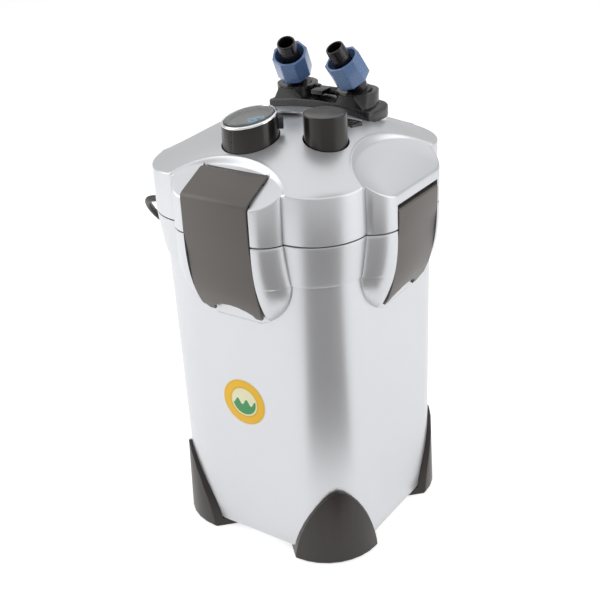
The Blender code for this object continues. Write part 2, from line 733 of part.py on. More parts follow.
def lid_cavity():
    rings = [rounded_square(LID_CAVITY_HALF, LID_CAVITY_CORNER, SEAM_Z - CUT_REACH),
             rounded_square(LID_CAVITY_HALF, LID_CAVITY_CORNER, SEAM_Z + 6 * MM),
             rounded_square(LID_WALL_HALF, LID_CAVITY_CORNER, SEAM_Z + 10 * MM),
             rounded_square(LID_WALL_HALF - 6 * MM, LID_CAVITY_CORNER, SEAM_Z + 36 * MM),
             rounded_square(LID_WALL_HALF - 26 * MM, LID_CAVITY_CORNER, SEAM_Z + 47 * MM),
             rounded_square(LID_WALL_HALF - 44 * MM, LID_CAVITY_CORNER - 4 * MM, SEAM_Z + 56 * MM)]
    return loft("lid_cavity", rings, collection=CUTTERS)


def finger_lip():
    """Leaf shaped lip on the crown, lifted towards the front as a finger grip."""
    def build(work):
        bmesh.ops.create_uvsphere(work, u_segments=24, v_segments=10, radius=1.0)
        bmesh.ops.scale(work, vec=Vector((16 * MM, 9 * MM, 2.4 * MM)), verts=work.verts)
    lip = mesh_object("finger_lip", build, collection=CUTTERS)
    lip.location = (-10 * MM, 5 * MM, LID_CROWN_Z + 0.8 * MM)
    lip.rotation_euler = (math.radians(-9), 0, math.radians(3))
    return lip


def plate_half_depth(x, grow=0.0):
    """Half the depth of the connector plate at a place along it: straight, with rounded ends."""
    corner = PLATE_CORNER + grow
    past = abs(x) - (PLATE_HALF + grow - corner)
    return PLATE_DEEP + grow - corner + math.sqrt(max(corner * corner - max(past, 0.0) ** 2, 0.0))


def arched_plate(name, grow, low, high, edge, finish=None, collection=None):
    """Bar along X that follows the dome, between two offsets from the connector plate's top."""
    half = PLATE_HALF + grow
    stations = [share * half for share in (1.0, 0.985, 0.94, 0.87, 0.79, 0.4, 0.0)]
    stations = [-x for x in stations] + stations[-2::-1]
    rings = []
    for x in stations:
        deep = plate_half_depth(x, grow)
        base = PLATE_TOP_Z - plate_sag(x)
        top = base + high - (edge if abs(x) == half else 0.0)
        section = ((-deep, base + low), (-deep, top - edge), (-deep + edge, top), (deep - edge, top),
                   (deep, top - edge), (deep, base + low))
        rings.append([Vector((x, SOCKET_Y + y, z)) for y, z in section])
    return loft(name, rings, finish, collection)


def connector_seat():
    """Raised saddle of the lid under the connector plate."""
    return arched_plate("connector_seat", SEAT_GROW, -SEAT_DEEP, 1.0 * MM - PLATE_THICK, SEAT_EDGE,
                        collection=CUTTERS)


def connector_recess():
    return arched_plate("connector_recess", GAP + 0.1 * MM, -PLATE_THICK - GAP, CUT_REACH, SEAT_EDGE,
                        collection=CUTTERS)


def make_lid_cover():
    low = SEAM_Z + SEAM_GAP / 2
    wall_top = LID_EDGE_Z
    edge = plan_outline(SEAM_Z)
    rings = [[Vector((p.x, p.y, z)) for p in edge] for z in (low, (low + wall_top) / 2)]
    for inset, z in ((0.0, wall_top - 2.2 * MM), (0.5 * MM, wall_top - 0.7 * MM)):
        shrink = 1 - inset / CHEEK_FACE
        rings.append([Vector((p.x * shrink, p.y * shrink, z)) for p in edge])
    for share in (0.985, 0.955, 0.9, 0.82, 0.7, 0.55, 0.38, 0.18):
        rings.append([Vector((p.x * share, p.y * share, dome_height(p.x * share, p.y * share))) for p in edge])
    lid = loft("lid_cover", rings, silver_paint())
    join(lid, connector_seat())
    cut(lid, connector_recess())
    join(lid, finger_lip())
    cut(lid, lid_cavity())
    cut(lid, panel_cutter("front", FRONT_APEX, 2.7, 0.7 * MM))
    for side in ("right", "rear", "left"):
        cut(lid, panel_cutter(side, SIDE_APEX, 2.25, 2.2 * MM))
    for side in FACE_TURNS:
        cut(lid, lid_pocket(side))
        cut(lid, pin_rod("pin_hole_" + side, side, PIN_RADIUS + 0.2 * MM,
                         pin_half_length(side) + 0.6 * MM, collection=CUTTERS))
    cut(lid, knuckle_slot())
    cut(lid, cylinder("uv_opening", UV_RADIUS + 0.4 * MM, SEAM_Z, LID_CROWN_Z + CUT_REACH, UV_PLACE,
                      40, collection=CUTTERS))
    cut(lid, cylinder("primer_opening", PRIMER_RADIUS + 0.6 * MM, SEAM_Z, LID_CROWN_Z + CUT_REACH,
                      PRIMER_PLACE, 32, collection=CUTTERS))
    cut(lid, switch_block("switch_opening", GAP, SEAM_Z + 20 * MM, LID_CROWN_Z + CUT_REACH))
    for side, sign in SIGNS.items():
        cut(lid, cylinder("stub_opening_" + side, STUB_RADIUS + 2 * GAP, SEAM_Z + 20 * MM,
                          LID_CROWN_Z + CUT_REACH, (sign * SOCKET_X, SOCKET_Y), 24, collection=CUTTERS))
    cut(lid, gland_opening())
    return smooth(lid, 30)


# ---------------------------------------------------------------- latches
def latch_face():
    """Outer line of a latch from above the seam down to its tips, as (out, up)."""
    line = ((0.8, 6.0), (0.4, -2.0), (-1.3, -14.0), (-2.5, -28.0), (-3.9, -40.0), (-6.5, -51.0),
            (-10.7, -62.0), (-16.6, -70.7))
    return [(CHEEK_FACE + out * MM, SEAM_Z + up * MM) for out, up in line]


def inner_line(line, sheet):
    """The line moved inwards by the sheet thickness, square to itself."""
    moved = []
    for index, (out, up) in enumerate(line):
        before = line[max(index - 1, 0)]
        after = line[min(index + 1, len(line) - 1)]
        run = Vector((after[0] - before[0], after[1] - before[1])).normalized()
        moved.append((out + run.y * sheet, up - run.x * sheet))
    return moved


def knuckle_arc(pivot, radius, start, end, steps=6):
    points = []
    for step in range(steps + 1):
        angle = math.radians(start + (end - start) * step / steps)
        points.append((pivot[0] + radius * math.cos(angle), pivot[1] + radius * math.sin(angle)))
    return points


def nib(gap_under_ledge, reach_in):
    """Hook on the back of a latch, under the vessel's ledge, listed from below to above."""
    top = LEDGE_LOW_Z - gap_under_ledge
    root = CHEEK_FACE - 3.8 * MM
    return [(root, top - 5.5 * MM), (reach_in, top - 2.0 * MM), (reach_in, top), (root, top)]


def latch_back(face, gap_under_ledge, reach_in):
    """Inner line of a latch from its tips up, with the hook in it."""
    inner = inner_line(face, LATCH_SHEET)
    lower = [point for point in inner if point[1] < LEDGE_LOW_Z - 8 * MM]
    upper = [point for point in inner if point[1] > LEDGE_LOW_Z + 2 * MM]
    return lower[::-1] + nib(gap_under_ledge, reach_in) + upper[::-1]


def side_latch_profile():
    shoulder = [(CHEEK_FACE - 0.1 * MM, SEAM_Z + 16.6 * MM), (CHEEK_FACE + 0.8 * MM, SEAM_Z + 15.2 * MM)]
    face = latch_face()
    back = latch_back(face, GAP, POCKET_FLOOR + 1.2 * MM)
    return shoulder + face + back + knuckle_arc(SIDE_PIVOT, SIDE_KNUCKLE, 250, 90)


def front_latch_profile():
    """Side view of the front latch: barrel, sloping top plate, rounded bend, face and hook."""
    out, up = FRONT_PIVOT
    bend_out, bend_up = FRONT_BEND
    slope = plate_slope()
    rise = Vector((-slope.y, slope.x))
    radius = front_knuckle()
    square_angle = math.degrees(math.atan2(rise.y, rise.x))
    under_angle = square_angle - math.degrees(math.acos((radius - PLATE_SHEET) / radius))
    barrel = knuckle_arc(FRONT_PIVOT, radius, 360 + under_angle, square_angle, 16)
    near_bend = (bend_out - slope.x * 3 * MM, bend_up - slope.y * 3 * MM)
    soft_bend = [near_bend, (bend_out - 0.9 * MM, bend_up - 0.1 * MM),
                 (bend_out - 0.1 * MM, bend_up - 1.6 * MM), (bend_out, bend_up - 3.5 * MM)]
    face = [(bend_out - 0.1 * MM, SEAM_Z + 18 * MM)] + latch_face()
    back = latch_back(face, 0.8 * MM, POCKET_FLOOR + 1.5 * MM)
    under_bend = (bend_out - LATCH_SHEET, bend_up - 4.2 * MM)
    before_bend = Vector((bend_out, bend_up)) - slope * 5.5 * MM
    under_front = tuple(before_bend - rise * PLATE_SHEET)
    return barrel + soft_bend + face + back + [under_bend, under_front]


def latch_front_outline():
    """What a latch shows from outside: straight sides, two legs and the finger arch."""
    tip_out = LATCH_HALF - 7.8 * MM
    tip_in = tip_out - 3.0 * MM
    arch_high = 12.0 * MM
    close = LATCH_NECK_Z - LATCH_TIP_Z
    points = [(LATCH_HALF, LID_CROWN_Z), (-LATCH_HALF, LID_CROWN_Z), (-LATCH_HALF, LATCH_NECK_Z)]
    for step in range(1, 6):
        angle = math.radians(90 * step / 5)
        points.append((-tip_out - (LATCH_HALF - tip_out) * math.cos(angle),
                       LATCH_NECK_Z - close * math.sin(angle)))
    for step in range(0, 9):
        angle = math.radians(180 * step / 8)
        points.append((-tip_in * math.cos(angle), LATCH_TIP_Z + arch_high * math.sin(angle) ** 0.8))
    for step in range(5, 0, -1):
        angle = math.radians(90 * step / 5)
        points.append((tip_out + (LATCH_HALF - tip_out) * math.cos(angle),
                       LATCH_NECK_Z - close * math.sin(angle)))
    points.append((LATCH_HALF, LATCH_NECK_Z))
    return points


def make_latch(side):
    name = "latch_" + side
    profile = front_latch_profile() if side == "front" else side_latch_profile()
    bore = knuckle_arc(pivot_of(side), PIN_RADIUS + 0.15 * MM, 0, 360 - 360 / 16, 15)
    blank = profile_bar(name, profile, LATCH_HALF, [bore])
    blank = adopt(blank, name, grey_plastic())
    window = as_mesh(extruded("latch_outline_" + side, latch_front_outline(), 90 * MM, collection=CUTTERS))
    window.matrix_world = Matrix.Translation((0, -100 * MM, 0)) @ Matrix.Rotation(math.pi / 2, 4, "X")
    keep(blank, window)
    latch = as_mesh(blank)
    out, up = pivot_of(side)
    pivot_place = Vector((0, -out, up))
    latch.data.transform(Matrix.Translation(-pivot_place) @ latch.matrix_world)
    latch.matrix_world = Matrix.Rotation(FACE_TURNS[side], 4, "Z") @ Matrix.Translation(pivot_place)
    pin_rod("latch_pin_" + side, side, PIN_RADIUS, pin_half_length(side), steel())
    return smooth(latch, 30)


# ---------------------------------------------------------------- connector plate and hoses
def plate_sag(x):
    return PLATE_SAG * (x / PLATE_HALF) ** 2


def socket_fairing(side, place):
    """Wedge that leads from the plate's front edge up to a socket."""
    low = PLATE_TOP_Z - 5 * MM
    front = SOCKET_Y - PLATE_DEEP + 2 * MM
    foot = [Vector((place[0] + a * 15 * MM, front + (0 if b < 0 else 12 * MM), low)) for a, b in SQUARE]
    head = [Vector((place[0] + a * 7 * MM, SOCKET_Y - SOCKET_RADIUS + (-1 * MM if b < 0 else 8 * MM),
                    SOCKET_TOP_Z - 1.2 * MM)) for a, b in SQUARE]
    return loft("fairing_" + side, [foot, head], collection=CUTTERS)


def lever_rod(name, radius, half_length, place=(0.0, 0.0, 0.0), sides=16, finish=None, collection=None):
    """Round bar along X."""
    rod = cylinder(name, radius, -half_length, half_length, sides=sides, finish=finish, collection=collection)
    rod.matrix_world = Matrix.Translation(place) @ Matrix.Rotation(math.pi / 2, 4, "Y")
    return rod


def make_connector_plate():
    plate = arched_plate("connector_plate", 0.0, -PLATE_THICK, 0.0, PLATE_EDGE, black_plastic())
    for side, sign in SIGNS.items():
        place = (sign * SOCKET_X, SOCKET_Y)
        join(plate, cylinder("socket_" + side, SOCKET_RADIUS, PLATE_TOP_Z - 6 * MM, SOCKET_TOP_Z, place,
                             32, collection=CUTTERS))
        join(plate, cylinder("stub_" + side, STUB_RADIUS, STUB_LOW_Z, PLATE_TOP_Z - 4 * MM, place,
                             24, collection=CUTTERS))
        join(plate, socket_fairing(side, place))
        cut(plate, cylinder("socket_bore_" + side, PIPE_BORE, STUB_LOW_Z - 10 * MM, SOCKET_TOP_Z - 4 * MM,
                            place, 24, collection=CUTTERS))
        cut(plate, cylinder("socket_seat_" + side, SOCKET_SEAT, SOCKET_TOP_Z - SOCKET_SEAT_DEEP,
                            SOCKET_TOP_Z + SOCKET_SEAT_DEEP, place, 24, collection=CUTTERS))
    for side, sign in SIGNS.items():
        place = (sign * LEVER_EAR, LEVER_AXIS[0], LEVER_AXIS[1])
        join(plate, lever_rod("lever_ear_" + side, 4.6 * MM, 1.5 * MM, place, collection=CUTTERS))
        cut(plate, lever_rod("lever_hole_" + side, 1.7 * MM, 4 * MM, place, collection=CUTTERS))
    return smooth(plate, 30)


def make_release_lever():
    """Small rocking lever between the sockets that lets the connector plate go."""
    lever = lever_rod("release_lever", 1.4 * MM, LEVER_EAR + 0.8 * MM, finish=black_plastic())
    hub = lever_rod("lever_hub", 3.4 * MM, LEVER_EAR - 2.1 * MM, sides=20, collection=CUTTERS)
    thumb = box("lever_thumb", (11 * MM, 14 * MM, 3.4 * MM), (-2.5 * MM, -8 * MM, 1.6 * MM), collection=CUTTERS)
    join(lever, hub)
    join(lever, thumb)
    made = as_mesh(lever)
    made.data.transform(made.matrix_world)
    made.matrix_world = Matrix.Translation((0, LEVER_AXIS[0], LEVER_AXIS[1]))
    return smooth(soften(made, 0.5 * MM, 1))


def lean_frame(side):
    """Frame at a connector's bend: Z along its spigot, turned and leaning as it stands."""
    bend = Vector((SIGNS[side] * SOCKET_X, SOCKET_Y, SOCKET_TOP_Z + ELBOW_RISE))
    return (Matrix.Translation(bend) @ Matrix.Rotation(ELBOW_TURNS[side], 4, "Z")
            @ Matrix.Rotation(ELBOW_LEAN, 4, "X"))


def elbow_ring(side, radius, along, sides=16):
    """Circle of the elbow at a distance along its middle line; negative lies below the bend."""
    frame = lean_frame(side)
    bend = frame.translation
    swing = ELBOW_SWING
    share = min(max((along + swing) / (2 * swing), 0.0), 1.0)
    lean = Matrix.Rotation(ELBOW_TURNS[side], 3, "Z") @ Matrix.Rotation(ELBOW_LEAN * share, 3, "X")
    upright = Vector((0, 0, 1))
    slanted = frame.to_3x3() @ upright
    if along <= -swing:
        centre = bend + upright * along
    elif along >= swing:
        centre = bend + slanted * along
    else:
        start, end = bend - upright * swing, bend + slanted * swing
        centre = start.lerp(bend, share).lerp(bend.lerp(end, share), share)
    points = []
    for step in range(sides):
        angle = 2 * math.pi * step / sides
        points.append(centre + lean @ Vector((radius * math.cos(angle), radius * math.sin(angle), 0)))
    return points


def make_elbow(side):
    """Angled connector: a foot turning in its socket, a bend, and the ribbed hose spigot."""
    place = (SIGNS[side] * SOCKET_X, SOCKET_Y)
    foot = GAP + 1.0 * MM - SOCKET_SEAT_DEEP - ELBOW_RISE
    foot_radius = SOCKET_SEAT - 0.4 * MM
    bend_steps = (ELBOW_SWING, ELBOW_SWING / 2, 0.0, -3 * MM)
    outer = [(foot_radius, foot), (foot_radius, foot + 4.4 * MM), (ELBOW_NECK, foot + 4.8 * MM)]
    outer += [(ELBOW_NECK, along) for along in reversed(bend_steps)]
    outer += [(ELBOW_NECK, ELBOW_SWING + 4 * MM), (SPIGOT_ROOT, ELBOW_SWING + 5 * MM)]
    for rib in range(BARB_COUNT):
        low = ELBOW_SWING + 9 * MM + rib * BARB_PITCH
        radius = SPIGOT_ROOT + (SPIGOT_TIP - SPIGOT_ROOT) * rib / BARB_COUNT
        outer += [(radius - 0.2 * MM, low), (radius + 0.5 * MM, low + 0.6 * MM)]
    outer += [(SPIGOT_TIP + 0.3 * MM, SPIGOT_LONG - 1.5 * MM), (SPIGOT_TIP - 0.2 * MM, SPIGOT_LONG)]
    inner = [(ELBOW_BORE, SPIGOT_LONG)] + [(ELBOW_BORE, along) for along in bend_steps] + [(ELBOW_BORE, foot)]
    rings = [elbow_ring(side, radius, along) for radius, along in outer + inner]

    def build(work):
        rows = [[work.verts.new(point) for point in ring] for ring in rings]
        for lower, upper in zip(rows, rows[1:] + rows[:1]):
            for index in range(len(lower)):
                after = (index + 1) % len(lower)
                work.faces.new((lower[index], lower[after], upper[after], upper[index]))
    made = mesh_object("elbow_" + side, build, black_plastic())
    made.data.transform(Matrix.Translation((-place[0], -place[1], -SOCKET_TOP_Z)))
    made.location = (place[0], place[1], SOCKET_TOP_Z)
    return smooth(made, 30)


def make_hose_nut(side):
    """Six sided union nut with a round collar, a chamfered foot and a wide bore for the hose."""
    corner = NUT_FLATS / 2 / math.cos(math.pi / 6)
    low = NUT_START
    high = NUT_START + NUT_LONG
    nut = cylinder("hose_nut_" + side, corner, low, high, sides=6, finish=blue_plastic())
    nut.rotation_euler = (0, 0, math.radians(10))
    turning = turned("nut_turning_" + side,
                     [(0.0, high + 1 * MM), (NUT_BORE + 2.0 * MM, high + 1 * MM),
                      (NUT_BORE + 2.6 * MM, high - 4 * MM), (corner + 0.2 * MM, high - 8 * MM),
                      (corner + 0.2 * MM, low + 8 * MM), (ELBOW_NECK + 2.2 * MM, low - 1 * MM),
                      (0.0, low - 1 * MM)], 24, collection=CUTTERS)
    keep(nut, as_mesh(turning))
    bore = turned("nut_bore_" + side,
                  [(0.0, high + 3 * MM), (NUT_BORE, high + 3 * MM), (NUT_BORE, low + 7 * MM),
                   (ELBOW_NECK + 0.4 * MM, low + 4.5 * MM), (ELBOW_NECK + 0.4 * MM, low - 3 * MM),
                   (0.0, low - 3 * MM)], 24, collection=CUTTERS)
    cut(nut, as_mesh(bore))
    made = as_mesh(nut)
    made.data.transform(made.matrix_world)
    made.matrix_world = lean_frame(side)
    return smooth(made, 25)


# ---------------------------------------------------------------- lamp unit, primer and switch
def uv_frame():
    """Frame in the middle of the lamp unit's sloping top, Z square to the window."""
    slope_axis = Vector((-math.sin(UV_TILT_AZIMUTH), math.cos(UV_TILT_AZIMUTH), 0.0))
    return (Matrix.Translation((UV_PLACE[0], UV_PLACE[1], UV_TOP_Z))
            @ Matrix.Rotation(UV_TILT, 4, slope_axis))


def make_uv_unit():
    housing = cylinder("uv_housing", UV_RADIUS, BASE_TOP_Z + GAP, UV_TOP_Z + 12 * MM, UV_PLACE, 40,
                       grey_plastic())
    frame = uv_frame()
    top = box("uv_slope", (90 * MM, 90 * MM, 60 * MM), (0, 0, 0), collection=CUTTERS)
    top.matrix_world = frame @ Matrix.Translation((0, 0, 30 * MM))
    cut(housing, top)
    lug = box("uv_lug", (6 * MM, 5 * MM, 9 * MM),
              (UV_PLACE[0] + UV_RADIUS * 0.86, UV_PLACE[1] + UV_RADIUS * 0.57, UV_TOP_Z - 4.5 * MM),
              collection=CUTTERS)
    lug.rotation_euler = (0, 0, math.radians(33))
    join(housing, lug)
    recess = cylinder("uv_recess", WINDOW_RADIUS + GAP, -WINDOW_DEEP, WINDOW_DEEP, sides=40, collection=CUTTERS)
    recess.matrix_world = frame
    cut(housing, recess)
    cut(housing, cylinder("uv_well", SLEEVE_HEAD + 0.5 * MM, SEAM_Z - 9 * MM, UV_TOP_Z - 15 * MM, UV_PLACE, 28,
                          collection=CUTTERS))
    mark = box("uv_mark", (1.8 * MM, 3 * MM, 9 * MM),
               (UV_PLACE[0] - 2.0 * MM, UV_PLACE[1] - UV_RADIUS, UV_TOP_Z - 9.5 * MM), collection=CUTTERS)
    cut(housing, mark)
    smooth(housing, 30)

    disc = cylinder("uv_label_disc", WINDOW_RADIUS - 1.4 * MM, GAP - WINDOW_DEEP, 1.1 * MM - WINDOW_DEEP,
                    sides=36, finish=material("grey_label", (0.42, 0.41, 0.4), 0.5))
    disc.data.transform(Matrix.Translation((0, 0, disc.location.z)))
    disc.location = (0, 0, 0)
    disc.matrix_world = frame
    rim = WINDOW_RADIUS
    under = 1.4 * MM + GAP - WINDOW_DEEP
    window = turned("uv_window", [(0.0, 2.6 * MM), (rim * 0.35, 2.4 * MM), (rim * 0.7, 1.7 * MM),
                                  (rim - 1.2 * MM, 1.0 * MM), (rim, 0.4 * MM), (rim, GAP - WINDOW_DEEP),
                                  (rim - 1.1 * MM, GAP - WINDOW_DEEP), (rim - 1.1 * MM, under),
                                  (0.0, under)], 40, clear_glass())
    window = as_mesh(window)
    window.matrix_world = frame
    smooth(window, 30)

    make_sleeve_and_lamp()


def make_sleeve_and_lamp():
    """Closed quartz tube under the lamp unit, with the folded glass lamp hanging in it."""
    low = SLEEVE_LOW_Z
    top = SLEEVE_TOP_Z
    solid = turned("uv_quartz_sleeve",
                   [(0.0, top), (SLEEVE_HEAD, top), (SLEEVE_HEAD, top - 3 * MM), (SLEEVE_RADIUS, top - 4 * MM),
                    (SLEEVE_RADIUS, low + 6 * MM), (SLEEVE_RADIUS - 4.5 * MM, low), (0.0, low)], 24,
                   clear_glass("quartz_glass"))
    solid.location = (UV_PLACE[0], UV_PLACE[1], 0)
    cut(solid, cylinder("sleeve_hollow", SLEEVE_RADIUS - SLEEVE_WALL, low + 7 * MM, top + 5 * MM, UV_PLACE, 24,
                        collection=CUTTERS))

    cap_low = top - 18 * MM
    bend_z = low + 12 * MM + LAMP_SPREAD
    bend = []
    for step in range(9):
        angle = math.pi + math.pi * step / 8
        bend.append((LAMP_SPREAD * math.cos(angle), 0, bend_z + LAMP_SPREAD * math.sin(angle)))
    points = [(-LAMP_SPREAD, 0, cap_low + 4 * MM)] + bend + [(LAMP_SPREAD, 0, cap_low + 4 * MM)]
    limbs = as_mesh(tube("lamp_limbs", points, LAMP_LIMB, collection=CUTTERS))
    limbs.location = (UV_PLACE[0], UV_PLACE[1], 0)
    lamp = cylinder("uv_lamp", LAMP_CAP, cap_low, top + 4 * MM, UV_PLACE, 24,
                    material("lamp_glass", (0.85, 0.86, 0.9), 0.2))
    join(lamp, limbs)


def make_primer():
    """Hand pump button: a dished cap on a sliding sleeve, with its return spring below."""
    low = PRIMER_LOW_Z
    top = PRIMER_TOP_Z
    button = turned("primer_button",
                    [(0.0, top - 2.2 * MM), (6 * MM, top - 2.0 * MM), (11 * MM, top - 1.3 * MM),
                     (PRIMER_RADIUS - 1.4 * MM, top - 0.2 * MM), (PRIMER_RADIUS - 0.7 * MM, top),
                     (PRIMER_RADIUS, top - 0.8 * MM), (PRIMER_RADIUS, low), (PRIMER_RADIUS - PRIMER_WALL, low),
                     (PRIMER_RADIUS - PRIMER_WALL, low + PRIMER_HOLLOW), (0.0, low + PRIMER_HOLLOW)], 36,
                    grey_plastic())
    button = as_mesh(button)
    button.data.transform(Matrix.Translation((0, 0, -top)))
    button.location = (PRIMER_PLACE[0], PRIMER_PLACE[1], top)
    smooth(button, 30)

    per_turn = 10
    bottom = BASE_TOP_Z + GAP
    head = low + PRIMER_HOLLOW - GAP
    straight = 2 * SPRING_WIRE
    rise = head - bottom - 2 * straight
    points = [(SPRING_RADIUS, 0.0, bottom)]
    for step in range(SPRING_TURNS * per_turn + 1):
        angle = 2 * math.pi * step / per_turn
        points.append((SPRING_RADIUS * math.cos(angle), SPRING_RADIUS * math.sin(angle),
                       bottom + straight + rise * step / (SPRING_TURNS * per_turn)))
    points.append((SPRING_RADIUS, 0.0, head))
    spring = tube("primer_spring", points, SPRING_WIRE, steel(), resolution=1)
    spring.location = (PRIMER_PLACE[0], PRIMER_PLACE[1], 0)


def switch_block(name, grow, low, high, finish=None, collection=None):
    made = box(name, (SWITCH_LONG + 2 * grow, SWITCH_WIDE + 2 * grow, high - low),
               (SWITCH_PLACE[0], SWITCH_PLACE[1], (low + high) / 2), finish, collection or CUTTERS)
    made.rotation_euler = (0, 0, SWITCH_TURN)
    return made


def make_switch():
    """Rocker switch let into the lid beside the primer, as a frame and a rocker."""
    surface = dome_height(*SWITCH_PLACE)
    frame = switch_block("switch_frame", 0.0, surface - SWITCH_DEEP, surface + 0.9 * MM, black_plastic(), PARTS)
    cut(frame, switch_block("switch_well", -SWITCH_RIM, surface - 8 * MM, surface + 12 * MM))
    half = SWITCH_LONG / 2 - SWITCH_RIM - 0.7 * MM
    outline = [(-half, 0.4 * MM), (-half, -2.2 * MM), (-half * 0.55, -5.2 * MM), (half * 0.55, -5.2 * MM),
               (half, -2.2 * MM), (half, 3.0 * MM), (0.0, 1.2 * MM)]
    wide = SWITCH_WIDE - 2 * SWITCH_RIM - 2 * GAP
    rocker = as_mesh(extruded("switch_rocker", outline, wide, black_plastic()))
    rocker.data.transform(Matrix.Rotation(math.pi / 2, 4, "X"))
    rocker.location = (SWITCH_PLACE[0], SWITCH_PLACE[1], surface - 1.2 * MM)
    rocker.rotation_euler = (0, 0, SWITCH_TURN)
    smooth(rocker)


# ---------------------------------------------------------------- inside the lid
def gasket_band(name, half, corner, low, high, finish=None, collection=None):
    rings = [rounded_square(half, corner, z) for z in (low, high)]
    return loft(name, rings, finish, collection)


def make_pump_head():
    """Inner head: closes the vessel, holds the motor, the volute and the pipe ends."""
    flange_low = BASE_TOP_Z - BASE_FLANGE
    rings = [rounded_square(BASE_PLUG_HALF, BASE_PLUG_CORNER, BASE_PLUG_LOW_Z),
             rounded_square(BASE_PLUG_HALF, BASE_PLUG_CORNER, flange_low - 0.1 * MM),
             rounded_square(BASE_HALF, BASE_CORNER, flange_low),
             rounded_square(BASE_HALF, BASE_CORNER, BASE_TOP_Z)]
    head = loft("pump_head", rings, black_plastic())
    groove = gasket_band("gasket_groove", BASE_PLUG_HALF + 4 * MM, BASE_PLUG_CORNER + 4 * MM, GASKET_Z - GAP,
                         GASKET_Z + GASKET_HIGH + GAP, collection=CUTTERS)
    core = gasket_band("gasket_core", BASE_PLUG_HALF - GASKET_SINK, BASE_PLUG_CORNER - GASKET_SINK,
                       GASKET_Z - 9 * MM, GASKET_Z + GASKET_HIGH + 9 * MM, collection=CUTTERS)
    cut(groove, core)
    cut(head, as_mesh(groove))
    guide = PRIMER_RADIUS + GUIDE_GAP
    join(head, cylinder("motor_can", MOTOR_RADIUS, BASE_TOP_Z - 1 * MM, MOTOR_TOP_Z, MOTOR_PLACE, 24,
                        collection=CUTTERS))
    join(head, cylinder("volute", VOLUTE_RADIUS + VOLUTE_WALL, VOLUTE_LOW_Z, BASE_PLUG_LOW_Z + 1 * MM,
                        MOTOR_PLACE, 24, collection=CUTTERS))
    join(head, cylinder("primer_guide", guide + PRIMER_WALL, BASE_TOP_Z - 1 * MM, PRIMER_LOW_Z + 8 * MM,
                        PRIMER_PLACE, 20, collection=CUTTERS))
    for side, sign in SIGNS.items():
        place = (sign * SOCKET_X, SOCKET_Y)
        top = STUB_LOW_Z + 7 * MM
        join(head, cylinder("pipe_end_" + side, STUB_RADIUS + PIPE_WALL, BASE_TOP_Z - 1 * MM, top, place,
                            16, collection=CUTTERS))
        cut(head, cylinder("pipe_seat_" + side, STUB_RADIUS + GAP, STUB_LOW_Z - GAP, top + CUT_REACH, place, 24,
                           collection=CUTTERS))
        cut(head, cylinder("pipe_bore_" + side, PIPE_BORE, BASE_PLUG_LOW_Z - 10 * MM, top, place, 16,
                           collection=CUTTERS))
    cut(head, cylinder("volute_hollow", VOLUTE_RADIUS, VOLUTE_LOW_Z - 5 * MM, BASE_PLUG_LOW_Z + 2 * MM,
                       MOTOR_PLACE, 24, collection=CUTTERS))
    cut(head, cylinder("rotor_well", ROTOR_WELL, BASE_PLUG_LOW_Z, MOTOR_TOP_Z - 6 * MM, MOTOR_PLACE, 16,
                       collection=CUTTERS))
    cut(head, cylinder("guide_bore", guide, BASE_TOP_Z, LID_CROWN_Z, PRIMER_PLACE, 24, collection=CUTTERS))
    cut(head, cylinder("sleeve_way", RISER_RADIUS - RISER_WALL, BASE_PLUG_LOW_Z - 9 * MM, BASE_TOP_Z + 9 * MM,
                       UV_PLACE, 28, collection=CUTTERS))
    cut(head, cylinder("riser_seat", RISER_RADIUS + GAP, BASE_PLUG_LOW_Z - 9 * MM, BASE_PLUG_LOW_Z + 6 * MM,
                       UV_PLACE, 28, collection=CUTTERS))
    smooth(head, 30)

    fit = cavity_half(GASKET_Z) - GAP
    ring = gasket_band("lid_gasket", fit, BODY_CORNER - BODY_WALL - GAP, GASKET_Z, GASKET_Z + GASKET_HIGH,
                       rubber("grey_rubber"))
    cut(ring, gasket_band("gasket_hole", BASE_PLUG_HALF - GASKET_SINK + GAP, BASE_PLUG_CORNER - GASKET_SINK,
                          GASKET_Z - 5 * MM, GASKET_Z + GASKET_HIGH + 5 * MM, collection=CUTTERS))


def make_impeller():
    """Magnet rotor with its blade wheel."""
    place = MOTOR_PLACE
    wheel_low = VOLUTE_LOW_Z + COVER_THICK + 2 * MM
    rotor = cylinder("impeller", ROTOR_RADIUS, wheel_low, MOTOR_TOP_Z - 12 * MM, place, 24,
                     material("white_impeller", (0.72, 0.72, 0.7), 0.4))
    join(rotor, cylinder("wheel_disc", IMPELLER_RADIUS, wheel_low + BLADE_HIGH - 1 * MM,
                         wheel_low + BLADE_HIGH + 1 * MM, place, 28, collection=CUTTERS))
    blade_long = IMPELLER_RADIUS - 6 * MM
    for index in range(BLADE_COUNT):
        blade = box("blade_%d" % index, (blade_long, BLADE_THICK, BLADE_HIGH), (0, 0, 0), collection=CUTTERS)
        blade.matrix_world = (Matrix.Translation((place[0], place[1], wheel_low + BLADE_HIGH / 2))
                              @ Matrix.Rotation(2 * math.pi * index / BLADE_COUNT, 4, "Z")
                              @ Matrix.Translation((IMPELLER_RADIUS - 0.55 * blade_long, 0, 0))
                              @ Matrix.Rotation(BLADE_TURN, 4, "Z"))
        join(rotor, blade)
    cut(rotor, cylinder("rotor_bore", SHAFT_RADIUS + 0.2 * MM, wheel_low - CUT_REACH, MOTOR_TOP_Z, place, 12,
                        collection=CUTTERS))
    wheel = as_mesh(rotor)
    wheel.data.transform(Matrix.Translation((-place[0], -place[1], -wheel_low)) @ wheel.matrix_world)
    wheel.matrix_world = Matrix.Translation((place[0], place[1], wheel_low))


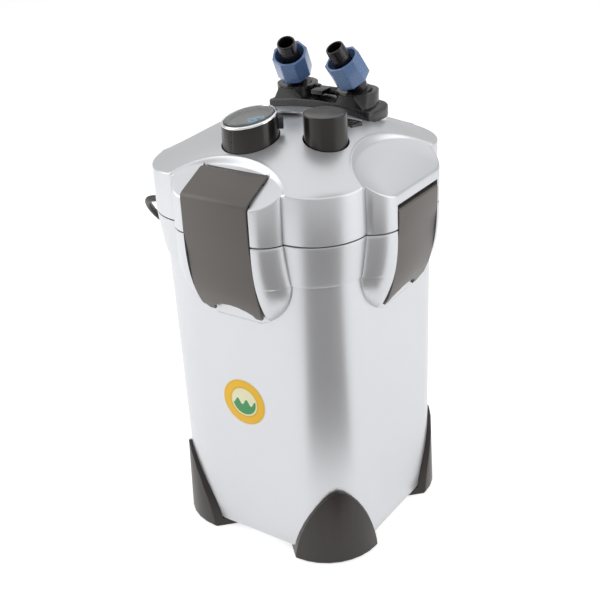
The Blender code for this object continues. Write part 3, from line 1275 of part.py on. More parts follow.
def make_impeller_bearings():
    """Ceramic shaft, the two rubber bushes that hold it and the cover under the wheel."""
    place = MOTOR_PLACE
    shaft_low = VOLUTE_LOW_Z - 2.0 * MM
    shaft_top = MOTOR_TOP_Z - 8 * MM
    cylinder("impeller_shaft", SHAFT_RADIUS, shaft_low, shaft_top, place, 12,
             material("white_ceramic", (0.85, 0.85, 0.83), 0.3))
    bore = SHAFT_RADIUS + 0.15 * MM
    upper = cylinder("upper_bush", ROTOR_WELL - GAP, shaft_top - 3.6 * MM, MOTOR_TOP_Z - 6.3 * MM, place, 16,
                     rubber("bush_rubber"))
    cut(upper, cylinder("upper_bush_bore", bore, shaft_top - 5 * MM, shaft_top + GAP, place, 12,
                        collection=CUTTERS))
    lower = cylinder("lower_bush", BUSH_RADIUS, VOLUTE_LOW_Z - COVER_THICK,
                     VOLUTE_LOW_Z + COVER_THICK + 1.6 * MM, place, 16, rubber("bush_rubber"))
    cut(lower, cylinder("lower_bush_bore", bore, shaft_low - GAP, VOLUTE_LOW_Z + 8 * MM, place, 12,
                        collection=CUTTERS))

    cover = cylinder("impeller_cover", VOLUTE_RADIUS + VOLUTE_WALL, VOLUTE_LOW_Z - COVER_THICK - GAP,
                     VOLUTE_LOW_Z - GAP, place, 32, black_plastic())
    inlet_out = (VOLUTE_RADIUS + BUSH_RADIUS) / 2 - 3.5 * MM
    for index in range(3):
        angle = 2 * math.pi * index / 3
        inlet = (place[0] + inlet_out * math.cos(angle), place[1] + inlet_out * math.sin(angle))
        cut(cover, cylinder("cover_inlet_%d" % index, 5 * MM, VOLUTE_LOW_Z - 9 * MM, VOLUTE_LOW_Z + 9 * MM,
                            inlet, 16, collection=CUTTERS))
    cut(cover, cylinder("cover_middle", BUSH_RADIUS + GAP, VOLUTE_LOW_Z - 9 * MM, VOLUTE_LOW_Z + 9 * MM, place,
                        16, collection=CUTTERS))


# ---------------------------------------------------------------- inside the vessel
def make_basket(index, low):
    """Tapered basket with a slotted floor and a hole for the riser pipe."""
    high = low + BASKET_HIGH
    taper = 1.5 * MM
    corner = BASKET_CORNER - BASKET_WALL
    inside = BASKET_HALF - BASKET_WALL
    basket = loft("media_basket_%d" % (index + 1),
                  [rounded_square(BASKET_HALF - taper, BASKET_CORNER, low, 5),
                   rounded_square(BASKET_HALF, BASKET_CORNER, high, 5)],
                  material("basket_plastic", (0.07, 0.07, 0.075), 0.5))
    cut(basket, loft("basket_hollow_%d" % index,
                     [rounded_square(inside - taper, corner, low + BASKET_FLOOR, 5),
                      rounded_square(inside, corner, high + 5 * MM, 5)], collection=CUTTERS))
    cut(basket, cylinder("basket_way_%d" % index, RISER_RADIUS + GAP, low - 5 * MM, high + 5 * MM, UV_PLACE, 28,
                         collection=CUTTERS))
    for row in range(3):
        cut(basket, box("basket_slot_%d_%d" % (index, row), (BASKET_HALF, 6 * MM, 4 * BASKET_FLOOR),
                        (0, (8 + 22 * row) * MM, low), collection=CUTTERS))


def make_medium(index, low):
    """Block of one filter medium that fills its basket round the riser pipe."""
    shades = ((0.16, 0.2, 0.3), (0.78, 0.74, 0.66), (0.9, 0.9, 0.88))
    name = MEDIA_NAMES[index]
    corner = BASKET_CORNER - BASKET_WALL
    inside = BASKET_HALF - BASKET_WALL
    filling = loft(name, [rounded_square(inside - 2.2 * MM, corner, low + BASKET_FLOOR + GAP, 5),
                          rounded_square(inside - 1.2 * MM, corner, low + BASKET_HIGH - MEDIA_SINK, 5)],
                   material(name, shades[index], 0.9))
    cut(filling, cylinder("media_way_%d" % index, RISER_RADIUS + 2 * GAP, low - 5 * MM,
                          low + BASKET_HIGH + 5 * MM, UV_PLACE, 28, collection=CUTTERS))


def make_media():
    """Three stacked open baskets with their media, round the riser pipe."""
    for index in range(len(MEDIA_NAMES)):
        low = BASKET_LOW_Z + index * (BASKET_HIGH + GAP)
        make_basket(index, low)
        make_medium(index, low)
    riser = cylinder("riser_pipe", RISER_RADIUS, BASKET_LOW_Z, BASE_PLUG_LOW_Z + 6 * MM - GAP, UV_PLACE, 28,
                     black_plastic())
    cut(riser, cylinder("riser_bore", RISER_RADIUS - RISER_WALL, BASKET_LOW_Z - 5 * MM, SEAM_Z, UV_PLACE, 28,
                        collection=CUTTERS))
    cut(riser, box("riser_notch", (3 * RISER_RADIUS, 12 * MM, 14 * MM),
                   (UV_PLACE[0], UV_PLACE[1], BASKET_LOW_Z), collection=CUTTERS))


# ---------------------------------------------------------------- mains lead
def gland_opening():
    hole = cylinder("gland_opening", GLAND_ROOT + GAP, -12 * MM, 12 * MM, sides=20, collection=CUTTERS)
    hole.matrix_world = Matrix.Translation(GLAND_PLACE) @ Matrix.Rotation(math.pi / 2, 4, "Y")
    return hole


def make_cord_gland():
    """Tapered strain relief pushed through the lid's wall, with the lead leaving its small end."""
    root = GLAND_ROOT
    flange = root + 2.6 * MM
    tip = CORD_RADIUS + 1.05 * MM
    profile = [(0.0, GLAND_LONG), (tip, GLAND_LONG), (root, 3 * MM), (flange, 2.6 * MM),
               (flange, GAP + 0.7 * MM), (root, GAP + 0.7 * MM), (root, -6 * MM), (0.0, -6 * MM)]
    gland = as_mesh(turned("cord_gland", profile, 20, rubber()))
    gland.matrix_world = Matrix.Translation(GLAND_PLACE) @ Matrix.Rotation(-math.pi / 2, 4, "Y")
    return smooth(gland)


CORD_ROUTE = (
    (-121.5, 62.0, 318.0), (-135.5, 61.8, 315.9), (-147.1, 60.3, 307.6), (-154.4, 57.6, 295.3),
    (-157.6, 53.7, 281.8), (-160.6, 48.0, 269.1), (-167.6, 40.8, 259.3), (-178.8, 34.6, 253.5),
    (-192.7, 33.4, 250.5), (-205.3, 36.8, 245.9), (-213.7, 44.6, 237.5), (-216.1, 53.1, 226.3),
    (-213.3, 61.6, 215.1), (-208.1, 70.0, 204.7), (-202.1, 77.5, 194.1), (-195.6, 82.9, 182.6),
    (-189.2, 85.5, 170.2), (-183.3, 85.7, 156.9), (-177.9, 84.1, 143.1), (-172.8, 81.5, 129.1),
    (-168.1, 78.7, 115.1), (-163.5, 76.2, 101.1), (-159.3, 74.5, 87.1), (-155.4, 74.3, 73.4),
    (-152.2, 75.8, 59.9), (-149.7, 79.8, 47.0), (-147.9, 86.8, 35.1), (-146.7, 95.7, 24.2),
    (-146.1, 106.0, 14.8), (-146.0, 117.5, 7.2), (-146.4, 128.0, 4.75), (-146.97, 136.5, 4.6),
)


def smooth_route(points, spacing):
    """Points on a smooth curve through the route, about evenly spaced."""
    places = [Vector(point) * MM for point in points]
    fine = []
    for index in range(len(places) - 1):
        before = places[max(index - 1, 0)]
        start, end = places[index], places[index + 1]
        after = places[min(index + 2, len(places) - 1)]
        for step in range(16):
            t = step / 16
            fine.append(0.5 * ((2 * start) + (end - before) * t
                               + (2 * before - 5 * start + 4 * end - after) * t * t
                               + (3 * start - before - 3 * end + after) * t ** 3))
    fine.append(places[-1])
    length = sum((b - a).length for a, b in zip(fine, fine[1:]))
    count = max(int(round(length / spacing)), 2)
    even = [fine[0]]
    walked = 0.0
    target = length / count
    for a, b in zip(fine, fine[1:]):
        step = (b - a).length
        while walked + step >= target * len(even) and len(even) < count:
            share = (target * len(even) - walked) / step
            even.append(a.lerp(b, share))
        walked += step
    even.append(fine[-1])
    return even, length


def coil_points():
    """Loops in two layers: a spiral in on the floor, then out on top, and a tail to the plug."""
    per_turn = 24
    total = COIL_TURNS * per_turn
    reverse = LOWER_TURNS * per_turn
    points = []
    for step in range(total + 1):
        angle = COIL_START - 2 * math.pi * step / per_turn
        inward = min(step, reverse) - max(step - reverse, 0.0)
        radius = COIL_OUTER - LOOP_PITCH * inward / per_turn
        climb = min(max((step - reverse + per_turn / 4) / (per_turn / 2), 0.0), 1.0)
        points.append(Vector((COIL_PLACE[0] + radius * math.cos(angle),
                              COIL_PLACE[1] + radius * math.sin(angle), COIL_LOW + climb * LAYER_STEP)))
    last = points[-1]
    for step in range(1, TAIL_STEPS + 1):
        share = step / TAIL_STEPS
        late = max(share - 0.45, 0.0) / 0.55
        ease = late * late * (3 - 2 * late)
        onward = TAIL_WAY * (TAIL_LONG * share)
        points.append(Vector((last.x + onward.x, last.y + onward.y,
                              last.z + (PLUG_AXIS_Z - last.z) * ease)))
    return points


def least_gap(points, radius, skip):
    """Smallest free distance between loops of one tube, measured between its points."""
    best = 1.0
    for index, point in enumerate(points):
        for other in points[index + skip:]:
            best = min(best, (point - other).length - 2 * radius)
    return best


def make_cord():
    route, length = smooth_route(CORD_ROUTE, 2.0 * 2 * CORD_RADIUS)
    tube("mains_cord", route, CORD_RADIUS, rubber("cord_rubber"), resolution=1)
    loops = coil_points()
    tube("cord_coil", loops, CORD_RADIUS, rubber("cord_rubber"), resolution=1)
    coiled = sum((b - a).length for a, b in zip(loops, loops[1:]))
    print("lead: free %.3f m, coiled %.3f m, least gap %.2f mm"
          % (length, coiled, least_gap(loops, CORD_RADIUS, 12) * 1000))


def make_plug():
    """Flat two pin mains plug lying on the floor at the end of the coil's tail."""
    tail = coil_points()[-1]
    turn = Matrix.Rotation(math.atan2(TAIL_WAY.y, TAIL_WAY.x), 4, "Z")
    place = Matrix.Translation((tail.x, tail.y, PLUG_AXIS_Z)) @ turn
    body = box("mains_plug", (PLUG_LONG, PLUG_WIDE, PLUG_HIGH), (0, 0, 0), rubber("plug_plastic"))
    soften(body, 3 * MM, 2)
    body.matrix_world = place @ Matrix.Translation((PLUG_LONG / 2 + GAP, 0, 0))
    for side, sign in SIGNS.items():
        pin = cylinder("plug_pin_" + side, 2.0 * MM, 0, 22 * MM, sides=12, collection=CUTTERS)
        pin.matrix_world = (place @ Matrix.Translation((PLUG_LONG + 8 * MM, sign * PLUG_PIN_SPACING / 2, 0))
                            @ Matrix.Rotation(math.pi / 2, 4, "Y"))
        join(body, pin)


def make_tie():
    """Flat strap closed round all the strands on one side of the coil."""
    wall = 1.0 * MM
    outer = COIL_OUTER + CORD_RADIUS + 0.6 * MM
    inner = COIL_OUTER - LOWER_TURNS * LOOP_PITCH - CORD_RADIUS - 0.6 * MM
    low = COIL_LOW - CORD_RADIUS - 0.3 * MM
    high = COIL_LOW + LAYER_STEP + CORD_RADIUS + 0.5 * MM
    middle = (outer + inner) / 2
    strap = box("cord_tie", (outer - inner + 2 * wall, TIE_WIDE, high - low + 2 * wall), (0, 0, 0),
                rubber("tie_plastic"))
    hole = box("tie_hole", (outer - inner, 2 * TIE_WIDE, high - low), (0, 0, 0), collection=CUTTERS)
    place = (Matrix.Translation((COIL_PLACE[0], COIL_PLACE[1], (low + high) / 2))
             @ Matrix.Rotation(TIE_ANGLE, 4, "Z") @ Matrix.Translation((middle, 0, 0)))
    strap.matrix_world = place
    hole.matrix_world = place
    cut(strap, hole)


def main():
    clear_scene()
    make_collections()
    make_canister()
    make_feet()
    make_lid_cover()
    for side in FACE_TURNS:
        make_latch(side)
    make_connector_plate()
    make_release_lever()
    for side in SIGNS:
        make_elbow(side)
        make_hose_nut(side)
    make_uv_unit()
    make_primer()
    make_switch()
    make_pump_head()
    make_impeller()
    make_impeller_bearings()
    make_media()
    make_cord_gland()
    make_cord()
    make_plug()
    make_tie()


main()
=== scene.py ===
import bisect
import math

import bmesh
import bpy
from mathutils import Matrix, Vector, geometry


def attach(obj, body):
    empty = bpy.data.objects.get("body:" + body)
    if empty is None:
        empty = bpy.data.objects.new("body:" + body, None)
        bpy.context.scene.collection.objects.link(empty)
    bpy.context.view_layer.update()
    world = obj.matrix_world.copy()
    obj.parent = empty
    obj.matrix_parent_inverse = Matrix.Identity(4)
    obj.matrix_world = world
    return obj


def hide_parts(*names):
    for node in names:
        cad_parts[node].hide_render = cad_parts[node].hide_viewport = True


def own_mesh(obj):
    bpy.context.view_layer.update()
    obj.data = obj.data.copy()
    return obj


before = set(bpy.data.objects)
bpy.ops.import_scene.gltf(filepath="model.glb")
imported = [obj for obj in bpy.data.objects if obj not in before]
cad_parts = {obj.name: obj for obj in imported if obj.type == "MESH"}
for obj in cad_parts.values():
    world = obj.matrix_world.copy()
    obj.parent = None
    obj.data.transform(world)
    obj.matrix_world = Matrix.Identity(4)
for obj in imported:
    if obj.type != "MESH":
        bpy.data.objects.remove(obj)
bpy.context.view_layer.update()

MM = 0.001
WHITE = (1.0, 1.0, 1.0, 1.0)


# ---------------------------------------------------------------- camera, light and floor
LENS_MM = 66.78
SENSOR_MM = 36.0
CAMERA_PLACE = (0.5044, -0.7199, 0.6314)
CAMERA_RIGHT = (0.829, 0.5571, -0.0484)
CAMERA_BACK = (0.5183, -0.733, 0.4406)
# Name, place, the place it faces, size across and up, power.
LAMPS = (
    ("left_softbox", (-1.15, -0.85, 0.85), (0, 0, 0.2), (1.1, 1.3), 9.0),
    ("right_softbox", (1.25, 0.35, 0.75), (0, 0, 0.2), (1.0, 1.3), 6.0),
    ("top_softbox", (-0.1, 0.1, 1.45), (0, 0, 0.3), (2.4, 2.4), 9.0),
)
CARD_REACH = (0.27, 1.4)
CARD_BEARINGS = (8.0, 80.0)
CARD_STEPS = 12
CARD_Z = 0.0006
SURROUND_LIGHT = {"To Min": 0.40, "To Max": 0.66}
FLOOR_SIZE = 8.0
FLOOR_Z = -0.0002
FLOOR_GLOW = 0.60


def put(name, data):
    """Place a new object in the scene."""
    made = bpy.data.objects.new(name, data)
    bpy.context.scene.collection.objects.link(made)
    return made


def make_camera():
    """Camera to the front right, above the object and looking down on it."""
    camera = put("camera", bpy.data.cameras.new("camera"))
    camera.data.sensor_width = SENSOR_MM
    camera.data.sensor_fit = "HORIZONTAL"
    camera.data.lens = LENS_MM
    back = Vector(CAMERA_BACK).normalized()
    up = back.cross(Vector(CAMERA_RIGHT).normalized()).normalized()
    turn = Matrix((up.cross(back), up, back)).transposed().to_4x4()
    camera.matrix_world = Matrix.Translation(CAMERA_PLACE) @ turn
    bpy.context.scene.camera = camera


def make_lights():
    """Large soft boxes from the left, the right and above, and a grey card towards the front right."""
    for name, place, aim, size, power in LAMPS:
        lamp = bpy.data.lights.new(name, "AREA")
        lamp.shape = "RECTANGLE"
        lamp.size, lamp.size_y = size
        lamp.energy = power
        turn = (Vector(place) - Vector(aim)).to_track_quat("Z", "Y").to_matrix().to_4x4()
        put(name, lamp).matrix_world = Matrix.Translation(place) @ turn
    make_card()


def make_card():
    """Grey card on the table: the darker band along the vessel's front corner is its reflection."""
    near, far = CARD_REACH
    start, end = CARD_BEARINGS
    ring = []
    for radius, order in ((near, range(CARD_STEPS + 1)), (far, range(CARD_STEPS, -1, -1))):
        for step in order:
            bearing = math.radians(start + (end - start) * step / CARD_STEPS)
            ring.append((radius * math.sin(bearing), -radius * math.cos(bearing), CARD_Z))
    shape = bpy.data.meshes.new("dark_card")
    shape.from_pydata(ring, [], [tuple(range(len(ring)))])
    card = put("dark_card", shape)
    for rays in ("camera", "shadow", "diffuse", "transmission"):
        setattr(card, "visible_" + rays, False)
    material, _, shader = new_material("grey_studio_card")
    set_inputs(shader, {"Base Color": rgba("#8C8A8A"), "Roughness": 0.9})
    card.data.materials.append(material)


def make_world():
    """Even pale surround, white where the camera and the reflections see it."""
    world = bpy.data.worlds.new("studio")
    bpy.context.scene.world = world
    world.use_nodes = True
    tree = world.node_tree
    tree.nodes.clear()
    rays = add(tree, "ShaderNodeLightPath").outputs
    seen = add(tree, "ShaderNodeMath", {}, {0: rays["Is Camera Ray"], 1: rays["Is Transmission Ray"]},
               operation="MAXIMUM")
    surround = add(tree, "ShaderNodeMapRange", SURROUND_LIGHT, {"Value": rays["Is Glossy Ray"]})
    around = add(tree, "ShaderNodeBackground", {"Color": WHITE}, {"Strength": surround.outputs[0]})
    white = add(tree, "ShaderNodeBackground", {"Color": WHITE, "Strength": 1.0})
    mixed = add(tree, "ShaderNodeMixShader", {},
                {0: seen.outputs[0], 1: around.outputs[0], 2: white.outputs[0]})
    add(tree, "ShaderNodeOutputWorld", {}, {"Surface": mixed.outputs[0]})


def make_floor():
    """Pale floor that keeps the object's shadow and reads white to the camera elsewhere."""
    bpy.ops.object.select_all(action="DESELECT")
    bpy.ops.mesh.primitive_plane_add(size=FLOOR_SIZE, location=(0, 0, FLOOR_Z))
    floor = bpy.context.object
    floor.name = "studio_floor"
    material, tree, shader = new_material("white_paper_floor")
    set_inputs(shader, {"Base Color": rgba("#EDEDED"), "Roughness": 0.7, "Specular IOR Level": 0.25,
                        "Emission Color": WHITE})
    rays = add(tree, "ShaderNodeLightPath").outputs
    seen = add(tree, "ShaderNodeMath", {}, {0: rays["Is Camera Ray"], 1: rays["Is Glossy Ray"]},
               operation="MAXIMUM")
    glow = add(tree, "ShaderNodeMath", {1: FLOOR_GLOW}, {0: seen.outputs[0]}, operation="MULTIPLY")
    tree.links.new(glow.outputs[0], shader.inputs["Emission Strength"])
    floor.data.materials.append(material)


# ---------------------------------------------------------------- materials
# grain_mm is the grain's width. A flake or texture too fine to show is drawn as coarse as it needs to show.
SURFACES = {
    # Metallic lacquer sprayed on ABS: satin and even, with a very fine flake.
    "sprayed_silver_lacquer": dict(colour="#D0D1D4", roughness=0.34, metallic=0.72, grain_mm=0.35,
                                   grain_depth=0.01, mottle=0.015),
    # Warm grey metallic lacquer on the ABS latches: duller, a little grainy.
    "warm_grey_lacquer": dict(colour="#5F5A57", roughness=0.42, metallic=0.2, mottle=0.03),
    # The same lacquer on the lamp unit and the button: smoother and darker, with a clear coat.
    "satin_grey_lacquer": dict(colour="#282422", roughness=0.30, metallic=0.6, coat=0.3, grain_mm=0.9,
                               grain_depth=0.004, mottle=0.02, rough_spread=0.02),
    # Chromium plated ABS: a bright ring that mirrors its surroundings.
    "plated_bright_ring": dict(colour="#E4E6E8", roughness=0.10, metallic=1.0, grain_mm=1.5,
                               grain_depth=0.005, mottle=0.01, rough_spread=0.02),
    # Gloss paper: smooth, with a soft shine over its print.
    "gloss_printed_paper": dict(colour="#F6C63C", roughness=0.35, grain_mm=1.0, grain_depth=0.01),
    # Moulded dark ABS of the feet: dull, from a fine spark-eroded texture.
    "textured_dark_abs": dict(colour="#251D1A", roughness=0.38, grain_mm=0.6, grain_depth=0.04,
                              mottle=0.05),
    # Black ABS from a polished mould: sharp highlights and slight flow marks.
    "polished_black_abs": dict(colour="#181415", roughness=0.26, grain_mm=3.0, grain_depth=0.002,
                               mottle=0.06, rough_spread=0.03),
    # Through-coloured blue nylon of the union nuts: satin, with flow marks.
    "blue_nylon": dict(colour="#5D7BA8", roughness=0.26, coat=0.4, grain_mm=1.2, mottle=0.08),
    # Drawn steel wire: bright and slightly satin.
    "spring_steel": dict(colour="#B9B9B7", roughness=0.25, metallic=1.0),
    # Drawn stainless pins: bright.
    "drawn_stainless_pin": dict(colour="#C4C4C2", roughness=0.25, metallic=1.0),
    # Printed card behind the window: matt, warm grey, with two satin inks on it.
    "printed_label_card": dict(colour="#463F40", roughness=0.5),
    "disc_print_blue_ink": dict(colour="#39A9D6", roughness=0.45),
    "disc_print_dark_ink": dict(colour="#2E2B2B", roughness=0.45),
    # Flexible PVC jacket of the mains lead: soft highlights on a faintly rough skin.
    "black_pvc_jacket": dict(colour="#252425", roughness=0.42, grain_mm=0.8, grain_depth=0.03),
    # Moulded white acetal: satin.
    "white_pom_impeller": dict(colour="#DADAD6", roughness=0.4),
    # Moulded dark polypropylene: dull.
    "dark_basket_pp": dict(colour="#303034", roughness=0.5),
    # Open blue foam: matt and patchy, with deep pores.
    "blue_open_foam": dict(colour="#4A5A78", roughness=0.95, grain_mm=1.2, grain_depth=0.6, mottle=0.2),
    # Fired porous ceramic: matt and pitted.
    "porous_ceramic": dict(colour="#DCD6C8", roughness=0.9, grain_mm=1.5, grain_depth=0.5, mottle=0.1),
    # White polyester wool: matt and fluffy.
    "white_polyester_wool": dict(colour="#EEEDE9", roughness=0.95, grain_mm=0.8, grain_depth=0.4),
    # Ground and polished ceramic shaft: smooth and shiny.
    "polished_ceramic": dict(colour="#EEEDE8", roughness=0.2),
    # Moulded EPDM rubber: matt dark grey.
    "grey_epdm_seal": dict(colour="#4A4A4A", roughness=0.6),
}
GLASSES = {
    # Moulded clear acrylic: the window's lens, almost invisible but for its shine.
    "clear_acrylic": dict(colour="#F4F7F8", roughness=0.02, ior=1.49),
    # Drawn quartz tube: clear.
    "quartz_tube": dict(colour="#F4F8FA", roughness=0.02, ior=1.46),
    # Etched lamp glass: milky.
    "frosted_lamp_glass": dict(colour="#EDEFF4", roughness=0.25, ior=1.46),
}
# The CAD nodes of each material.
NODE_MATERIALS = {
    "sprayed_silver_lacquer": "canister lid_cover",
    "warm_grey_lacquer": "latch_front latch_right latch_rear latch_left primer_button uv_housing",
    "textured_dark_abs": "foot_front_right foot_rear_right foot_rear_left foot_front_left",
    "polished_black_abs": "connector_plate release_lever elbow_left elbow_right switch_frame switch_rocker "
                          "pump_head impeller_cover riser_pipe",
    "blue_nylon": "hose_nut_left hose_nut_right",
    "black_pvc_jacket": "mains_cord cord_coil cord_gland mains_plug cord_tie",
    "clear_acrylic": "uv_window",
    "quartz_tube": "uv_quartz_sleeve",
    "frosted_lamp_glass": "uv_lamp",
    "printed_label_card": "uv_label_disc",
    "spring_steel": "primer_spring",
    "drawn_stainless_pin": "latch_pin_front latch_pin_right latch_pin_rear latch_pin_left",
    "white_pom_impeller": "impeller",
    "polished_ceramic": "impeller_shaft",
    "grey_epdm_seal": "lid_gasket upper_bush lower_bush",
    "dark_basket_pp": "media_basket_1 media_basket_2 media_basket_3",
    "blue_open_foam": "foam_block",
    "porous_ceramic": "ceramic_rings",
    "white_polyester_wool": "fine_wool",
}
CLOUD_SIZE = 28 * MM
GLASS_WAVE = 6 * MM
GLASS_WAVE_SPREAD = 0.03
COAT_ROUGHNESS = 0.12


def rgba(code):
    """Linear colour of an sRGB hex value, opaque."""
    channels = [int(code[place:place + 2], 16) / 255 for place in (1, 3, 5)]
    return (*(c / 12.92 if c <= 0.04045 else ((c + 0.055) / 1.055) ** 2.4 for c in channels), 1.0)


def set_inputs(node, values):
    """Set a node's inputs by name or number."""
    for key, value in values.items():
        node.inputs[key].default_value = value


def add(tree, kind, inputs=None, links=None, **settings):
    """Add a node, give it its settings and inputs, and link the sockets that feed it."""
    made = tree.nodes.new(kind)
    for key, value in settings.items():
        setattr(made, key, value)
    set_inputs(made, inputs or {})
    for socket, source in (links or {}).items():
        tree.links.new(source, made.inputs[socket])
    return made


def new_material(name):
    """A new material with its node tree and its shader."""
    made = bpy.data.materials.new(name)
    made.use_nodes = True
    return made, made.node_tree, made.node_tree.nodes["Principled BSDF"]


def look(name):
    """The material of this name, made when it is first asked for."""
    made = bpy.data.materials.get(name)
    if made:
        return made
    if name in GLASSES:
        return glass(name, **GLASSES[name])
    return surface(name, **SURFACES[name])


def surface(name, colour, roughness, metallic=0.0, coat=0.0, mottle=0.04, grain_mm=0.5, grain_depth=0.02,
            rough_spread=0.05):
    """Moulded or sprayed finish: slight tone mottle, fine grain in the relief and in the gloss."""
    made, tree, shader = new_material(name)
    set_inputs(shader, {"Metallic": metallic, "Coat Weight": coat, "Coat Roughness": COAT_ROUGHNESS})
    place = add(tree, "ShaderNodeTexCoord").outputs["Object"]
    cloud = add(tree, "ShaderNodeTexNoise", {"Scale": 1 / CLOUD_SIZE, "Detail": 2.0}, {"Vector": place})
    grain = add(tree, "ShaderNodeTexNoise", {"Scale": 1 / (grain_mm * MM), "Detail": 1.0},
                {"Vector": place}).outputs["Fac"]
    red, green, blue, opaque = rgba(colour)
    dark, light = [(*(min(c * share, 1.0) for c in (red, green, blue)), opaque)
                   for share in (1 - mottle, 1 + mottle)]
    tone = add(tree, "ShaderNodeMix", {6: dark, 7: light}, {0: cloud.outputs["Fac"]}, data_type="RGBA")
    gloss = add(tree, "ShaderNodeMapRange",
                {"From Min": 0.3, "From Max": 0.7, "To Min": roughness - rough_spread,
                 "To Max": roughness + rough_spread}, {"Value": grain})
    relief = add(tree, "ShaderNodeBump", {"Strength": 0.5, "Distance": grain_depth * MM}, {"Height": grain})
    tree.links.new(tone.outputs[2], shader.inputs["Base Color"])
    tree.links.new(gloss.outputs[0], shader.inputs["Roughness"])
    tree.links.new(relief.outputs[0], shader.inputs["Normal"])
    return made


def glass(name, colour, roughness, ior):
    """Clear or frosted glass with a slight wave in its gloss."""
    made, tree, shader = new_material(name)
    set_inputs(shader, {"Base Color": rgba(colour), "Transmission Weight": 1.0, "IOR": ior})
    place = add(tree, "ShaderNodeTexCoord").outputs["Object"]
    wave = add(tree, "ShaderNodeTexNoise", {"Scale": 1 / GLASS_WAVE}, {"Vector": place}).outputs["Fac"]
    gloss = add(tree, "ShaderNodeMapRange", {"To Min": roughness, "To Max": roughness + GLASS_WAVE_SPREAD},
                {"Value": wave})
    tree.links.new(gloss.outputs[0], shader.inputs["Roughness"])
    return made


def finish_cad_nodes():
    """Give every CAD node its material."""
    material_of = {node: name for name, nodes in NODE_MATERIALS.items() for node in nodes.split()}
    for name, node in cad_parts.items():
        node.data.materials.clear()
        node.data.materials.append(look(material_of[name]))


# ---------------------------------------------------------------- sizes of the shells
GAP = 0.3 * MM
BODY_HALF_LOW = 90.5 * MM
BODY_HALF_TOP = 92.2 * MM
BODY_CORNER = 43.0 * MM
BODY_FLOOR_Z = 7.5 * MM
BODY_FLOOR = 4.0 * MM
BODY_WALL = 3.2 * MM
BODY_FILLET = 6.0 * MM
SEAM_Z = 300.0 * MM
LOBE_HALF = 97.2 * MM
LOBE_CORNER = 44.6 * MM
LOBE_LOW_Z = 264.5 * MM
LOBE_STEP = 1.2 * MM
CLOSE_ROWS_Z = 212.0 * MM
CHEEK_FACE = 113.5 * MM
CHEEK_HALF = 51.6 * MM
SHIELD_DROP = 44.4 * MM
SHIELD_HALF = 54.0 * MM
SHIELD_FADE = 76.5 * MM
LID_EDGE_Z = 338.0 * MM
LID_CROWN_Z = 367.2 * MM
LID_ROUND = 1.3 * MM
DOME_REACH = 100.0 * MM
DOME_FALL = 23.0 * MM
DOME_BLEND = 4.0 * MM
# Half width, corner and height over the seam of the room below the lid, from the seam up.
LID_ROOM = ((88.5, 41.0, -9.0), (88.5, 41.0, 10.0), (80.5, 41.0, 34.0), (58.5, 38.0, 47.0),
            (42.5, 34.0, 55.0))
PANEL_BASE = 108.0 * MM
PANEL_HALF = 57.0 * MM
# Distance of each sunk panel's arch from the axis, how square the arch is, and how far the panel is dished.
PANELS = {"front": (76.5 * MM, 2.1, 0.7 * MM), "right": (68.5 * MM, 2.0, 2.2 * MM),
          "rear": (68.5 * MM, 2.0, 2.2 * MM), "left": (68.5 * MM, 2.0, 2.2 * MM)}
PANEL_EDGE_Z = 330.7 * MM
PANEL_SLOPE = 0.58
PANEL_CURVE = 2.6
PANEL_DISH_REACH = 18.0 * MM
PANEL_RIM_OUT = 2.4 * MM
PANEL_RIM_IN = 1.6 * MM
PANEL_BEAD = 0.7 * MM
PANEL_BEAD_OUT = 1.0 * MM
PANEL_BEAD_WIDE = 1.5 * MM
PANEL_ZONE = 60.0 * MM
PANEL_HALVINGS = 30
LATCH_HALF = 31.3 * MM
LATCH_SIDE_GAP = 0.9 * MM
LEDGE_DROP = 12.5 * MM
LEDGE_HIGH = 3.0 * MM
LEDGE_DEEP = 5.0 * MM
POCKET_FLOOR = 93.5 * MM
POCKET_TOP_Z = 320.5 * MM
FRONT_PIVOT = (86.0 * MM, 342.5 * MM)
FRONT_KNUCKLE = 4.47 * MM
FRONT_WALL = 108.8 * MM
UV_PLACE = (-9.0 * MM, -49.0 * MM)
UV_RADIUS = 22.7 * MM
UV_TOP_Z = 377.5 * MM
UV_TILT = math.radians(10.5)
UV_TILT_AZIMUTH = math.radians(-120)
PRIMER_PLACE = (46.0 * MM, -25.0 * MM)
PRIMER_RADIUS = 17.2 * MM
PRIMER_TOP_Z = 382.6 * MM
SWITCH_PLACE = (41.0 * MM, 15.2 * MM)
SWITCH_TURN = math.radians(-10)
SWITCH_LONG = 20.0 * MM
SWITCH_WIDE = 13.0 * MM
SWITCH_LOW_SHARE = 0.45
SWITCH_LIP_SIZE = (SWITCH_LONG - 0.6 * MM, 1.1 * MM, 0.7 * MM)
SWITCH_LIP_IN = 0.65 * MM
SWITCH_LIP_UP = 1.2 * MM
SOCKET_X = 30.0 * MM
SOCKET_Y = 50.0 * MM
SOCKET_TOP_Z = 379.5 * MM
PLATE_HALF = 57.5 * MM
PLATE_SAG = 6.0 * MM
PLATE_THICK = 9.0 * MM
PLATE_TOP_Z = 371.0 * MM
PLATE_CORNER = 8.0 * MM
PLATE_END = 51.6 * MM
PLATE_FRONT = 16.8 * MM
SADDLE_GROW = -0.5 * MM
ELBOW_LEAN = math.radians(32)
ELBOW_TURNS = {"left": math.radians(13), "right": math.radians(-22)}
ELBOW_RISE = 3.0 * MM
ELBOW_SWING = 7.0 * MM
ELBOW_FOOT = GAP - 4.0 * MM - ELBOW_RISE
SPIGOT_LONG = 42.4 * MM
TUBE_RADIUS = 8.8 * MM
TUBE_BORE = 5.5 * MM
# Steps out and along of one hose barb.
BARB = ((-0.2, 0.0), (0.25, 0.3), (0.5, 0.7))
NUT_LOW = 8.0 * MM
NUT_TURNS = {"left": math.radians(31.5), "right": math.radians(5.4)}
